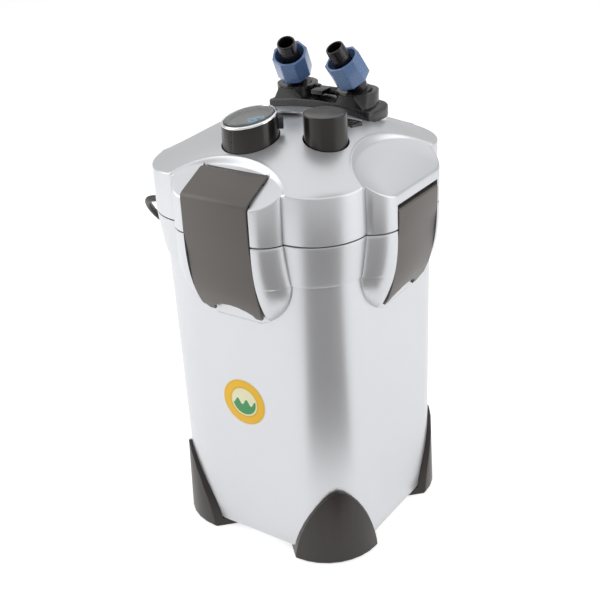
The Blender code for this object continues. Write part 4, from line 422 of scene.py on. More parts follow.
# Radius and distance along of a nut's rows, first those with eight flats, then those of its bore.
NUT_FLATS = ((14.6, 0.0), (15.3, 0.7), (15.3, 21.4), (14.8, 22.0))
NUT_BORE = ((12.6, 22.0), (12.2, 21.6), (11.9, 6.0), (9.4, 4.0), (9.4, 0.0))
LIP_PLACE = (-9.0 * MM, -0.5 * MM)
STICKER_PLACE = (-3.0 * MM, 142.9 * MM)
STICKER_RADIUS = 21.5 * MM
GLAND_PLACE = (-97.2 * MM, 62.0 * MM, 318.0 * MM)
GLAND_HOLE = 6.3 * MM
PIPE_HOLE = 13.1 * MM
UV_CLEAR = 0.9 * MM
PRIMER_CLEAR = 1.2 * MM
FACE_TURNS = {"front": 0.0, "right": math.pi / 2, "rear": math.pi, "left": -math.pi / 2}


# Width of the rounding on each piece's edges.
HOUSING_EDGE = 0.25 * MM
MARK_EDGE = 0.2 * MM
LATCH_EDGE = 0.7 * MM
FOOT_EDGE = 0.9 * MM
NUT_EDGE = 0.35 * MM
BLOCK_EDGE = 0.8 * MM
LEVER_EDGE = 0.4 * MM
BEZEL_EDGE = 0.25 * MM
ROCKER_EDGE = 0.4 * MM
PLUG_EDGE = 0.6 * MM
TIE_EDGE = 0.4 * MM


# ---------------------------------------------------------------- form of the shells
def limited(share):
    """A share held between 0 and 1."""
    return min(max(share, 0.0), 1.0)


def blend(share):
    """Soft step from 0 to 1."""
    share = limited(share)
    return share * share * (3 - 2 * share)


def square_reach(half, corner, angle):
    """Distance from the axis to a rounded square, at an angle from its face's middle."""
    centre = half - corner
    if math.tan(angle) <= centre / half:
        return half / math.cos(angle)
    along = centre * (math.cos(angle) + math.sin(angle))
    return along + math.sqrt(along * along - 2 * centre * centre + corner * corner)


def square_front(half, corner, across):
    """Distance out of a rounded square's side at a place across its face."""
    past = max(abs(across) - (half - corner), 0.0)
    return half - corner + math.sqrt(corner * corner - past * past)


def body_half(z):
    """Half width of the vessel, which widens a little upwards."""
    share = limited((z - BODY_FLOOR_Z) / (LOBE_LOW_Z - BODY_FLOOR_Z))
    return BODY_HALF_LOW + (BODY_HALF_TOP - BODY_HALF_LOW) * share


def housing_reach(z):
    """How far a latch housing stands out of the vessel under the seam."""
    below = (SEAM_Z - z) / SHIELD_FADE
    if below >= 1.0:
        return 0.0
    return (CHEEK_FACE - BODY_HALF_TOP) * (1.0 - max(below, 0.0) ** 2.6)


def housing_half(z):
    """Half width of a latch housing: straight at the seam, with a rounded lower end."""
    if z >= LOBE_LOW_Z:
        share = limited((z - LOBE_LOW_Z) / (SEAM_Z - LOBE_LOW_Z))
        return SHIELD_HALF + (CHEEK_HALF - SHIELD_HALF) * share
    down = (LOBE_LOW_Z - z) / SHIELD_DROP
    return SHIELD_HALF * math.sqrt(max(1.0 - down * down, 0.0))


def lobe_shape(z):
    """Half width and corner radius of the plan behind the latch housings."""
    if z < LOBE_LOW_Z:
        return body_half(z), BODY_CORNER
    share = limited((z - LOBE_LOW_Z) / (SEAM_Z - LOBE_LOW_Z))
    start = body_half(z) + LOBE_STEP
    return start + (LOBE_HALF - start) * share ** 0.8, BODY_CORNER + (LOBE_CORNER - BODY_CORNER) * share


def plan_outline(z, flat_steps=4, cheek_steps=14, lobe_steps=16):
    """Plan of vessel, corner lobes and latch housings at one height, as (x, y) round the axis."""
    half, corner = lobe_shape(z)
    wide = max(housing_half(z), 0.2 * CHEEK_HALF)
    flat = min(LATCH_HALF, 0.8 * wide)
    face = max(body_half(z) + housing_reach(z), half)
    eighth = [(flat * step / flat_steps, face) for step in range(flat_steps)]
    for step in range(cheek_steps + 1):
        share = math.sin(math.pi / 2 * step / cheek_steps)
        u = flat + (wide - flat) * share
        back = square_front(half, corner, u)
        eighth.append((u, back + max(face - back, 0.0) * (1.0 - share * share) ** 0.7))
    start = math.atan2(eighth[-1][0], eighth[-1][1])
    for step in range(1, lobe_steps + 1):
        angle = start + (math.pi / 4 - start) * step / lobe_steps
        reach = square_reach(half, corner, angle)
        eighth.append((reach * math.sin(angle), reach * math.cos(angle)))
    side = [(-u, v) for u, v in reversed(eighth[1:-1])] + eighth
    ring = []
    for quarter in range(4):
        turn = Matrix.Rotation(quarter * math.pi / 2, 2)
        ring += [turn @ Vector((u, -v)) for u, v in side]
    return ring


def dome_height(x, y):
    """Height of the plain dome, which runs out level at the lid's edge."""
    above = LID_CROWN_Z - DOME_FALL * (math.hypot(x, y) / DOME_REACH) ** 2 - LID_EDGE_Z
    return LID_EDGE_Z + 0.5 * (above + math.sqrt(above * above + DOME_BLEND ** 2))


def face_place(x, y, turn):
    """A place as (across, out) of the face at this turn."""
    return x * math.cos(turn) + y * math.sin(turn), x * math.sin(turn) - y * math.cos(turn)


def panel_edge(side, grow, steps=56):
    """Arch of one sunk panel as (across, out), moved out by grow."""
    apex, power = PANELS[side][:2]
    wide = PANEL_HALF + grow
    deep = PANEL_BASE - apex + grow
    foot = [(wide, CHEEK_FACE + 6 * MM), (wide, CHEEK_FACE)]
    arch = []
    for step in range(steps + 1):
        angle = math.pi * step / steps
        across = math.copysign(abs(math.cos(angle)) ** (2 / power), math.cos(angle))
        arch.append((wide * across, PANEL_BASE - deep * abs(math.sin(angle)) ** (2 / power)))
    return foot + arch + [(-across, out) for across, out in reversed(foot)]


def panel_grow(side, across, out):
    """How far outside a panel's edge a place lies, negative inside it."""
    apex, power = PANELS[side][:2]
    if out >= PANEL_BASE:
        return abs(across) - PANEL_HALF
    low, high = apex - PANEL_BASE + 1e-6, PANEL_ZONE
    for step in range(PANEL_HALVINGS):
        grow = (low + high) / 2
        deep = PANEL_BASE - apex + grow
        if (abs(across) / (PANEL_HALF + grow)) ** power + ((PANEL_BASE - out) / deep) ** power > 1.0:
            low = grow
        else:
            high = grow
    return (low + high) / 2


def lid_height(x, y):
    """Height of the lid over a place: the dome with its four sunk panels and their rolled rims."""
    height = dome_height(x, y)
    for side, turn in FACE_TURNS.items():
        across, out = face_place(x, y, turn)
        if out < PANEL_ZONE or abs(across) > PANEL_ZONE:
            continue
        grow = panel_grow(side, across, out)
        if grow >= 2 * PANEL_RIM_OUT:
            continue
        inward = max(CHEEK_FACE - out, 0.0)
        floor = PANEL_EDGE_Z + PANEL_SLOPE * inward - PANEL_CURVE * inward * inward
        dish = min(max(-grow - PANEL_RIM_IN, 0.0) / PANEL_DISH_REACH, 1.0)
        floor -= PANELS[side][2] * (1 - (1 - dish) ** 2)
        share = blend((grow + PANEL_RIM_IN) / (PANEL_RIM_OUT + PANEL_RIM_IN))
        bead = PANEL_BEAD * math.exp(-((grow - PANEL_BEAD_OUT) / PANEL_BEAD_WIDE) ** 2)
        height = min(floor + max(dome_height(x, y) - floor, 0.0) * share + bead, height + bead)
    return height


# ---------------------------------------------------------------- making meshes
def only(*pieces):
    """Select these pieces alone, the last one active."""
    bpy.ops.object.select_all(action="DESELECT")
    for piece in pieces:
        piece.select_set(True)
    bpy.context.view_layer.objects.active = pieces[-1]


def new_piece(name, points, faces):
    """A piece from points and faces, its faces pointing outwards."""
    shape = bpy.data.meshes.new(name)
    shape.from_pydata([tuple(point) for point in points], [], faces)
    piece = put(name, shape)
    only(piece)
    bpy.ops.object.mode_set(mode="EDIT")
    bpy.ops.mesh.select_all(action="SELECT")
    bpy.ops.mesh.remove_doubles(threshold=0.000002)
    bpy.ops.mesh.normals_make_consistent(inside=False)
    bpy.ops.object.mode_set(mode="OBJECT")
    return piece


def skin(name, rings):
    """Closed body skinned through rings of equal point counts."""
    count = len(rings[0])
    points = [point for ring in rings for point in ring]
    faces = []
    for row in range(len(rings) - 1):
        here, there = row * count, (row + 1) * count
        for index in range(count):
            after = (index + 1) % count
            faces.append((here + index, here + after, there + after, there + index))
    last = len(points) - count
    faces += [tuple(range(count)), tuple(range(last, last + count))]
    return new_piece(name, points, faces)


def tube_faces(rows, sides):
    """Faces round a tube whose last ring joins its first."""
    faces = []
    for row in range(rows):
        here, there = row * sides, (row + 1) % rows * sides
        for index in range(sides):
            after = (index + 1) % sides
            faces.append((here + index, here + after, there + after, there + index))
    return faces


def lathe(name, profile, sides=96, place=None):
    """Closed turned piece from a loop of (radius, height), set in a frame."""
    place = place or Matrix.Identity(4)
    points, faces = [], []
    count = len(profile)
    for step in range(sides):
        angle = 2 * math.pi * step / sides
        points += [place @ Vector((r * math.cos(angle), r * math.sin(angle), z)) for r, z in profile]
    for step in range(sides):
        here, there = step * count, (step + 1) % sides * count
        for index in range(count):
            after = (index + 1) % count
            if profile[index][0] == 0 and profile[after][0] == 0:
                continue
            faces.append((here + index, there + index, there + after, here + after))
    return new_piece(name, points, faces)


def apply_modifier(piece, kind, **settings):
    """Add a modifier with its settings and apply it."""
    step = piece.modifiers.new(kind.lower(), kind)
    for key, value in settings.items():
        setattr(step, key, value)
    only(piece)
    bpy.ops.object.modifier_apply(modifier=step.name)


def carve(piece, tool, operation="DIFFERENCE"):
    """Cut a tool out of a piece, or join it on, and drop the tool."""
    apply_modifier(piece, "BOOLEAN", operation=operation, object=tool, solver="EXACT")
    bpy.data.objects.remove(tool, do_unlink=True)


def smooth(piece, angle=30):
    """Shade a piece smooth, with the edges sharper than the angle left crisp."""
    only(piece)
    bpy.ops.object.shade_smooth_by_angle(angle=math.radians(angle))
    return piece


def edged(piece, width, segments=3, angle=32, smooth_angle=35):
    """Round a piece's edges over, as a mould leaves them."""
    apply_modifier(piece, "BEVEL", width=width, segments=segments, limit_method="ANGLE",
                   angle_limit=math.radians(angle), miter_outer="MITER_ARC", use_clamp_overlap=True)
    return smooth(piece, smooth_angle)


def finish(piece, material, body, slot, *nodes):
    """Give a piece its finish, its body and the CAD nodes that it stands for; the slot is not used."""
    piece.data.materials.clear()
    piece.data.materials.append(look(material))
    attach(piece, body)
    if nodes:
        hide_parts(*nodes)
    return piece


def settle(piece):
    """Put a piece's place, turn and size into its mesh."""
    only(piece)
    bpy.ops.object.transform_apply(location=True, rotation=True, scale=True)
    return piece


def post(name, radius, low, high, place=(0.0, 0.0), sides=64):
    """Upright round cutter or blank."""
    bpy.ops.object.select_all(action="DESELECT")
    bpy.ops.mesh.primitive_cylinder_add(vertices=sides, radius=radius, depth=high - low,
                                        location=(*place, (low + high) / 2))
    bpy.context.object.name = name
    return settle(bpy.context.object)


def block(name, size, place, turn=0.0):
    """Box with its sides along the axes, turned about its own upright axis."""
    bpy.ops.object.select_all(action="DESELECT")
    bpy.ops.mesh.primitive_cube_add(size=1.0, location=place, rotation=(0, 0, turn))
    bpy.context.object.name = name
    bpy.context.object.scale = size
    return settle(bpy.context.object)


def profile_bar(name, profile, half_width, turn):
    """Bar with an (out, up) profile across one face of the object."""
    spin = Matrix.Rotation(turn, 3, "Z")
    return skin(name, [[spin @ Vector((across, -out, up)) for out, up in profile]
                       for across in (-half_width, half_width)])


def square_ring(half, corner, z, arc_steps=12):
    """Rounded square at one height."""
    points = []
    for quarter in range(4):
        spin = Matrix.Rotation(quarter * math.pi / 2, 3, "Z")
        for step in range(arc_steps + 1):
            angle = math.radians(90 * step / arc_steps) - math.pi / 2
            spot = (half - corner + corner * math.cos(angle), corner - half + corner * math.sin(angle), z)
            points.append(spin @ Vector(spot))
    return points


def copied(node, name):
    """Copy of a CAD node's mesh, its doubles merged and its flat faces made whole."""
    piece = put(name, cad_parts[node].data.copy())
    only(piece)
    bpy.ops.object.mode_set(mode="EDIT")
    bpy.ops.mesh.select_all(action="SELECT")
    bpy.ops.mesh.remove_doubles(threshold=0.00001)
    bpy.ops.mesh.dissolve_limited(angle_limit=math.radians(0.6))
    bpy.ops.object.mode_set(mode="OBJECT")
    return piece


def rounded_node(node, name, width, material, body, slot):
    """Copy of a CAD node with rounded edges, finished and in its place."""
    return finish(edged(copied(node, name), width), material, body, slot, node)


# ---------------------------------------------------------------- vessel
def heights_between(low, high, steps):
    """Evenly spaced heights after low, up to high."""
    return [low + (high - low) * step / steps for step in range(1, steps + 1)]


def drawn_ring(z, inset):
    """Plan at one height, drawn in towards the axis."""
    return [(p.x * (1 - inset / p.length), p.y * (1 - inset / p.length), z) for p in plan_outline(z)]


def vessel_rings():
    """Plans of the vessel from its floor to the seam, drawn in at both ends for the rounded edges."""
    heights = [BODY_FLOOR_Z, BODY_FLOOR_Z + 0.6 * MM, BODY_FLOOR_Z + 2 * MM]
    heights += heights_between(BODY_FLOOR_Z, CLOSE_ROWS_Z, 12)
    heights += heights_between(CLOSE_ROWS_Z, LOBE_LOW_Z - LOBE_STEP, 44)
    heights += [LOBE_LOW_Z - LOBE_STEP / 3, LOBE_LOW_Z, LOBE_LOW_Z + 0.5 * MM]
    heights += heights_between(LOBE_LOW_Z, SEAM_Z - 1.2 * MM, 16)
    heights += [SEAM_Z - 0.7 * MM, SEAM_Z - 0.5 * MM]
    insets = [2.0 * MM, 0.7 * MM] + [0.0] * (len(heights) - 4) + [0.15 * MM, 0.5 * MM]
    return [drawn_ring(z, inset) for z, inset in zip(heights, insets)]


def make_vessel():
    """Deep tub with rounded corners, four corner lobes and the lower ends of the latch housings."""
    vessel = skin("canister_shell", vessel_rings())
    corner = BODY_CORNER - BODY_WALL
    low = BODY_FLOOR_Z + BODY_FLOOR
    low_half = body_half(low) - BODY_WALL
    top_half = BODY_HALF_TOP - BODY_WALL
    hollow = [(low_half - BODY_FILLET, corner - BODY_FILLET, low), (low_half, corner, low + BODY_FILLET),
              (top_half, corner, LOBE_LOW_Z), (top_half, corner, SEAM_Z + 9 * MM)]
    carve(vessel, skin("hollow", [square_ring(*ring) for ring in hollow]))
    ledge = SEAM_Z - LEDGE_DROP
    high = SEAM_Z + 2 * MM
    outer = CHEEK_FACE + 20 * MM
    foot = SEAM_Z - SHIELD_FADE - 3 * MM
    catch = POCKET_FLOOR + LEDGE_DEEP
    pocket = [(POCKET_FLOOR, foot), (outer, foot), (outer, high), (POCKET_FLOOR, high),
              (POCKET_FLOOR, ledge + LEDGE_HIGH), (catch, ledge + LEDGE_HIGH), (catch, ledge),
              (POCKET_FLOOR, ledge)]
    for turn in FACE_TURNS.values():
        carve(vessel, profile_bar("pocket", pocket, LATCH_HALF + LATCH_SIDE_GAP, turn))
    finish(smooth(vessel), "sprayed_silver_lacquer", "vessel", "silver_shell", "canister")


# ---------------------------------------------------------------- lid
RIM_INSETS = (0.12, 0.4, 0.8, 1.3, 2.4)
PANEL_ROWS = (-3.0, -2.0, -1.6, -1.1, -0.6, -0.1, 0.4, 0.9, 1.4, 1.9, 2.4, 3.0, 3.7, 4.5)
GRID_STEP = 2.6 * MM
GRID_ROW_SHARE = 0.87
GRID_COUNT = 46
GRID_REACH = 150.0 * MM
GRID_ZONE = 55.0 * MM
GRID_FREE_IN = -4.2 * MM
GRID_FREE_OUT = 5.7 * MM


def lid_rows():
    """Close rows of places along the lid's edge and the panel rims, and the lines that join each row."""
    edge = plan_outline(SEAM_Z)
    places = [p.copy() for p in edge]
    ring_size = len(edge)
    links = []
    for inset in RIM_INSETS:
        start = len(places)
        places += [p * (1 - inset * MM / p.length) for p in edge]
        links += [(start + i, start + (i + 1) % ring_size) for i in range(ring_size)]
    for side, turn in FACE_TURNS.items():
        spin = Matrix.Rotation(turn, 2)
        for grow in PANEL_ROWS:
            start = len(places)
            places += [spin @ Vector((across, -out)) for across, out in panel_edge(side, grow * MM)]
            links += [(i, i + 1) for i in range(start, len(places) - 1)]
    return places, links, ring_size


def near_rim(x, y):
    """Whether a place lies on or close beside a panel's rim."""
    for side, turn in FACE_TURNS.items():
        across, out = face_place(x, y, turn)
        if out > GRID_ZONE and GRID_FREE_IN < panel_grow(side, across, out) < GRID_FREE_OUT:
            return True
    return False


def lid_grid():
    """Places in even staggered rows over the lid, clear of the panel rims."""
    places = []
    for row in range(-GRID_COUNT, GRID_COUNT + 1):
        for column in range(-GRID_COUNT, GRID_COUNT + 1):
            x = (column + 0.5 * (row % 2)) * GRID_STEP
            y = row * GRID_STEP * GRID_ROW_SHARE
            if math.hypot(x, y) <= GRID_REACH and not near_rim(x, y):
                places.append(Vector((x, y)))
    return places


def bearings_of(edge):
    """Bearing and reach of the lid's edge in rising order, carried on past both ends."""
    marks = sorted((math.atan2(p.y, p.x), p.length) for p in edge)
    (first, first_reach), (last, last_reach) = marks[0], marks[-1]
    return [(last - 2 * math.pi, last_reach)] + marks + [(first + 2 * math.pi, first_reach)]


def edge_fall(marks, spot):
    """How far the lid's rounded edge has dropped at a place."""
    bearing = math.atan2(spot.y, spot.x)
    after = min(bisect.bisect(marks, (bearing, math.inf)), len(marks) - 1)
    (before, reach), (beyond, next_reach) = marks[after - 1], marks[after]
    share = (bearing - before) / max(beyond - before, 1e-9)
    to_edge = max(reach + (next_reach - reach) * share - spot.length, 0.0)
    missing = max(LID_ROUND - to_edge, 0.0)
    return LID_ROUND - math.sqrt(LID_ROUND ** 2 - missing ** 2)


def close_below(lid):
    """Draw the lid's open edge down to the seam and close its underside."""
    low = SEAM_Z + 0.5 * MM
    only(lid)
    bpy.ops.object.mode_set(mode="EDIT")
    bpy.ops.mesh.select_all(action="SELECT")
    bpy.ops.mesh.delete_loose()
    for height, inset in ((low + 0.5 * MM, 0.0), (low, 0.4 * MM)):
        bpy.ops.mesh.select_all(action="DESELECT")
        bpy.ops.mesh.select_non_manifold(extend=False, use_wire=False, use_boundary=True,
                                         use_multi_face=False, use_non_contiguous=False, use_verts=False)
        bpy.ops.mesh.extrude_region_move()
        work = bmesh.from_edit_mesh(lid.data)
        for corner in work.verts:
            if corner.select:
                shrink = 1 - inset / math.hypot(corner.co.x, corner.co.y)
                corner.co = (corner.co.x * shrink, corner.co.y * shrink, height)
        bmesh.update_edit_mesh(lid.data)
    bpy.ops.mesh.edge_face_add()
    bpy.ops.mesh.select_all(action="SELECT")
    bpy.ops.mesh.normals_make_consistent(inside=False)
    bpy.ops.object.mode_set(mode="OBJECT")


def make_lid():
    """Low dome with four sunk panels, a rounded edge, a hollow underside and its openings."""
    places, links, ring_size = lid_rows()
    marks = bearings_of(places[:ring_size])
    flat = geometry.delaunay_2d_cdt(places + lid_grid(), links, [list(range(ring_size))], 1, 1e-6)
    points = [(spot.x, spot.y, lid_height(spot.x, spot.y) - edge_fall(marks, spot)) for spot in flat[0]]
    shape = bpy.data.meshes.new("lid_shell")
    shape.from_pydata(points, [], flat[2])
    lid = put("lid_shell", shape)
    close_below(lid)
    carve_lid(lid)
    finish(smooth(lid, 32), "sprayed_silver_lacquer", "vessel", "silver_shell", "lid_cover")


def plate_sag(x):
    """How far the connector block's ends hang below its middle."""
    return PLATE_SAG * (x / PLATE_HALF) ** 2


def arched_bar(name, grow, low, high, edge, stations=40):
    """Bar along X with rounded ends that follows the dome, between two offsets from the block's top."""
    half = PLATE_END + grow
    corner = PLATE_CORNER + grow
    rings = []
    for step in range(stations + 1):
        x = -half * math.cos(math.pi * step / stations)
        past = max(abs(x) - (half - corner), 0.0)
        deep = PLATE_FRONT + grow - corner + math.sqrt(max(corner * corner - past * past, 0.0))
        base = PLATE_TOP_Z - plate_sag(x)
        section = [(-deep, base + low)]
        for bend in range(4):
            angle = math.pi / 6 * bend
            section.append((edge * (1 - math.cos(angle)) - deep, base + high - edge * (1 - math.sin(angle))))
        section += [(-y, z) for y, z in reversed(section)]
        rings.append([(x, SOCKET_Y + y, z) for y, z in section])
    return skin(name, rings)


def carve_lid(lid):
    """Saddle, hollow, latch pockets, hinge slot and the openings of the lid."""
    under = -PLATE_THICK - GAP
    carve(lid, arched_bar("saddle", SADDLE_GROW, -30 * MM, under, 0.5 * MM), "UNION")
    carve(lid, arched_bar("plate_bed", 0.4 * MM, under, 30 * MM, 0.8 * MM))
    room = [square_ring(half * MM, corner * MM, SEAM_Z + up * MM) for half, corner, up in LID_ROOM]
    carve(lid, skin("hollow", room))
    low = SEAM_Z - 3 * MM
    outer = CHEEK_FACE + 30 * MM
    high = LID_CROWN_Z + 9 * MM
    side_pocket = [(POCKET_FLOOR, low), (outer, low), (outer, POCKET_TOP_Z), (POCKET_FLOOR, POCKET_TOP_Z)]
    front_pocket = side_pocket[:2] + [(outer, high), (FRONT_WALL, high), (FRONT_WALL, POCKET_TOP_Z)]
    front_pocket += side_pocket[3:]
    for side, turn in FACE_TURNS.items():
        profile = front_pocket if side == "front" else side_pocket
        carve(lid, profile_bar("pocket", profile, LATCH_HALF + LATCH_SIDE_GAP, turn))
    out, up = FRONT_PIVOT
    clear = FRONT_KNUCKLE + 0.4 * MM
    carve(lid, block("slot", (2 * (LATCH_HALF + 0.6 * MM), 2 * clear, clear + high - up),
                     (0, -out, (up - clear + high) / 2)))
    carve_openings(lid, high)


def carve_openings(lid, high):
    """Openings of the lamp unit, the button, the switch, the lead and the two pipes."""
    low = SEAM_Z + 20 * MM
    carve(lid, post("uv_opening", UV_RADIUS + UV_CLEAR, SEAM_Z, high, UV_PLACE, 96))
    carve(lid, post("primer_opening", PRIMER_RADIUS + PRIMER_CLEAR, SEAM_Z, high, PRIMER_PLACE, 96))
    carve(lid, block("switch_opening", (SWITCH_LONG + 2 * GAP, SWITCH_WIDE + 2 * GAP, high - low),
                     (*SWITCH_PLACE, (high + low) / 2), SWITCH_TURN))
    half = 12 * MM
    hole = [(0.0, -half), (GLAND_HOLE, -half), (GLAND_HOLE, half), (0.0, half)]
    carve(lid, lathe("gland_opening", hole, 32, gland_place()))
    for x in (-SOCKET_X, SOCKET_X):
        carve(lid, post("pipe_opening", PIPE_HOLE, low, high, (x, SOCKET_Y), 48))


# ---------------------------------------------------------------- lamp unit
# Steps out of the housing's radius and up of the bright ring.
BEZEL = ((-2.1, 0.35), (-1.9, 1.5), (-1.3, 2.0), (-0.5, 1.8), (0.05, 1.1), (0.1, 0.35))
LENS_REACH = UV_RADIUS - 2.2 * MM
LUG_START = 0.6 * MM
MARK_SIZE = (1.5 * MM, 1.2 * MM, 8.6 * MM)
MARK_LEFT = 2.0 * MM
MARK_IN = 0.75 * MM
MARK_DOWN = 9.5 * MM
DISC_REACH = 20.0 * MM
DISC_THICK = 0.6 * MM
DISC_BEVEL = 0.2 * MM
DISC_Z = -4.1 * MM
DISC_TURN = math.radians(38)
# Height on the disc, middle, length and width of each printed stroke.
DISC_PRINTS = {
    "disc_print_blue": ((6.5, 4.5, 13.0, 1.9), (3.0, 3.0, 10.0, 1.5)),
    "disc_print_dark": ((-1.5, 0.0, 19.0, 1.1), (-4.6, -1.0, 15.0, 0.9), (-7.4, 0.5, 11.0, 0.8)),
}
STROKE_STEPS = 24
STROKE_WAVE = 0.7


def uv_place():
    """Frame in the middle of the lamp unit's sloping top, Z square to the window."""
    slope_axis = Vector((-math.sin(UV_TILT_AZIMUTH), math.cos(UV_TILT_AZIMUTH), 0.0))
    return Matrix.Translation((*UV_PLACE, UV_TOP_Z)) @ Matrix.Rotation(UV_TILT, 4, slope_axis)


def make_lamp_unit():
    """Lamp unit: dark grey housing, bright bezel, clear window and the printed disc below it."""
    make_lamp_housing()
    place = uv_place()
    bezel = lathe("window_bezel", [(UV_RADIUS + out * MM, up * MM) for out, up in BEZEL], 128, place)
    finish(smooth(bezel, 40), "plated_bright_ring", "vessel", "steel")
    bends = [step * math.pi / 16 for step in range(9)]
    lens = [(LENS_REACH * math.sin(bend), (1.3 + 0.9 * math.cos(bend)) * MM) for bend in bends]
    lens += [(LENS_REACH, 0.2 * MM), (0.6 * LENS_REACH, 0.3 * MM), (0.0, 0.3 * MM)]
    finish(smooth(lathe("window_lens", lens, 96, place), 40), "clear_acrylic", "vessel", "window_clear",
           "uv_window")
    low = DISC_Z - DISC_THICK
    disc = [(0.0, DISC_Z), (DISC_REACH - DISC_BEVEL, DISC_Z), (DISC_REACH, DISC_Z - DISC_BEVEL),
            (DISC_REACH, low), (0.0, low)]
    finish(smooth(lathe("printed_disc", disc, 96, place), 30), "printed_label_card", "vessel", "label_grey",
           "uv_label_disc")
    make_disc_print(place @ Matrix.Rotation(DISC_TURN, 4, "Z"))
    make_housing_mark()


def make_lamp_housing():
    """The lamp unit's housing, black on its locking lugs."""
    housing = rounded_node("uv_housing", "uv_housing_shell", HOUSING_EDGE, "satin_grey_lacquer", "vessel",
                           "warm_grey")
    housing.data.materials.append(look("polished_black_abs"))
    for face in housing.data.polygons:
        if (face.center.xy - Vector(UV_PLACE)).length > UV_RADIUS + LUG_START:
            face.material_index = 1


def make_housing_mark():
    """Small black upright mark on the housing's front."""
    x, y = UV_PLACE
    mark = block("housing_mark", MARK_SIZE, (x - MARK_LEFT, y - UV_RADIUS + MARK_IN, UV_TOP_Z - MARK_DOWN))
    finish(edged(mark, MARK_EDGE, 2), "polished_black_abs", "vessel", "gloss_black")


def make_disc_print(place):
    """Print on the disc: blue ripples over short dark strokes."""
    for name, strokes in DISC_PRINTS.items():
        points, faces = [], []
        for up, middle, long, wide in strokes:
            base = len(points)
            for step in range(STROKE_STEPS + 1):
                share = step / STROKE_STEPS
                along = middle - long / 2 + long * share
                wave = up + STROKE_WAVE * math.sin(share * 4 * math.pi)
                points += [place @ Vector((along * MM, (wave + side * wide) * MM, DISC_Z + lift * MM))
                           for lift in (0.02, 0.14) for side in (-0.5, 0.5)]
            last = len(points) - 4
            for a in range(base, last, 4):
                faces += [(a + first, a + second, a + 4 + second, a + 4 + first)
                          for first, second in ((0, 1), (1, 3), (3, 2), (2, 0))]
            faces += [(end, end + 1, end + 3, end + 2) for end in (base, last)]
        finish(new_piece(name, points, faces), name + "_ink", "vessel", "label_grey")


# ---------------------------------------------------------------- button, latches and feet
# Radius and depth below the top across the button's dish, then steps in from its side and down its edge.
PRIMER_DISH = ((0.0, 2.2), (5.0, 2.1), (9.0, 1.75), (12.5, 1.0))
PRIMER_EDGE = ((1.9, 0.25), (1.2, 0.03), (0.7, 0.0), (0.25, 0.18), (0.05, 0.55), (0.0, 1.0))
PRIMER_FOOT_Z = SEAM_Z + 22.0 * MM
PRIMER_WALL = 2.2 * MM
PRIMER_ROOM = 25.0 * MM


def make_primer():
    """Hand pump button: a dished cap with a rolled edge on a plain sleeve."""
    profile = [(radius * MM, PRIMER_TOP_Z - down * MM) for radius, down in PRIMER_DISH]
    profile += [(PRIMER_RADIUS - inward * MM, PRIMER_TOP_Z - down * MM) for inward, down in PRIMER_EDGE]
    inner = PRIMER_RADIUS - PRIMER_WALL
    ceiling = PRIMER_FOOT_Z + PRIMER_ROOM
    profile += [(PRIMER_RADIUS, PRIMER_FOOT_Z), (inner, PRIMER_FOOT_Z), (inner, ceiling), (0.0, ceiling)]
    button = lathe("primer_cap", profile, 128, Matrix.Translation((*PRIMER_PLACE, 0)))
    finish(smooth(button, 35), "satin_grey_lacquer", "primer", "warm_grey", "primer_button")


def make_return_spring():
    """Steel coil spring below the button, with a mesh of its own."""
    spring = smooth(copied("primer_spring", "return_spring"), 40)
    finish(spring, "spring_steel", "vessel", "steel", "primer_spring")
    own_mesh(spring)


def make_latches():
    """Four clips, one on each side."""
    for side in FACE_TURNS:
        rounded_node("latch_" + side, "latch_cover_" + side, LATCH_EDGE, "warm_grey_lacquer", side + "_latch",
                     "warm_grey")


def make_feet():
    """Four corner feet."""
    for corner in ("front_right", "rear_right", "rear_left", "front_left"):
        rounded_node("foot_" + corner, "foot_shell_" + corner, FOOT_EDGE, "textured_dark_abs", "vessel",
                     "foot_plastic")


# ---------------------------------------------------------------- hose connectors
TUBE_SIDES = 64
# How much of the slab keeps its place from the middle, and the share of its length and width past that.
SLAB_LONG = (44.0 * MM, 0.56)
SLAB_WIDE = (15.6 * MM, 0.3)
SLAB_RIM = 0.6 * MM


def elbow_place(side, along):
    """Middle and turn of an elbow at a distance along it; negative lies below the bend."""
    sign = -1 if side == "left" else 1
    bend = Vector((sign * SOCKET_X, SOCKET_Y, SOCKET_TOP_Z + ELBOW_RISE))
    share = limited((along + ELBOW_SWING) / (2 * ELBOW_SWING))
    turn = Matrix.Rotation(ELBOW_TURNS[side], 3, "Z")
    lean = turn @ Matrix.Rotation(ELBOW_LEAN * share, 3, "X")
    upright = Vector((0, 0, 1))
    slanted = turn @ Matrix.Rotation(ELBOW_LEAN, 3, "X") @ upright
    if along <= -ELBOW_SWING:
        return bend + upright * along, lean
    if along >= ELBOW_SWING:
        return bend + slanted * along, lean
    start, end = bend - upright * ELBOW_SWING, bend + slanted * ELBOW_SWING
    return start.lerp(bend, share).lerp(bend.lerp(end, share), share), lean


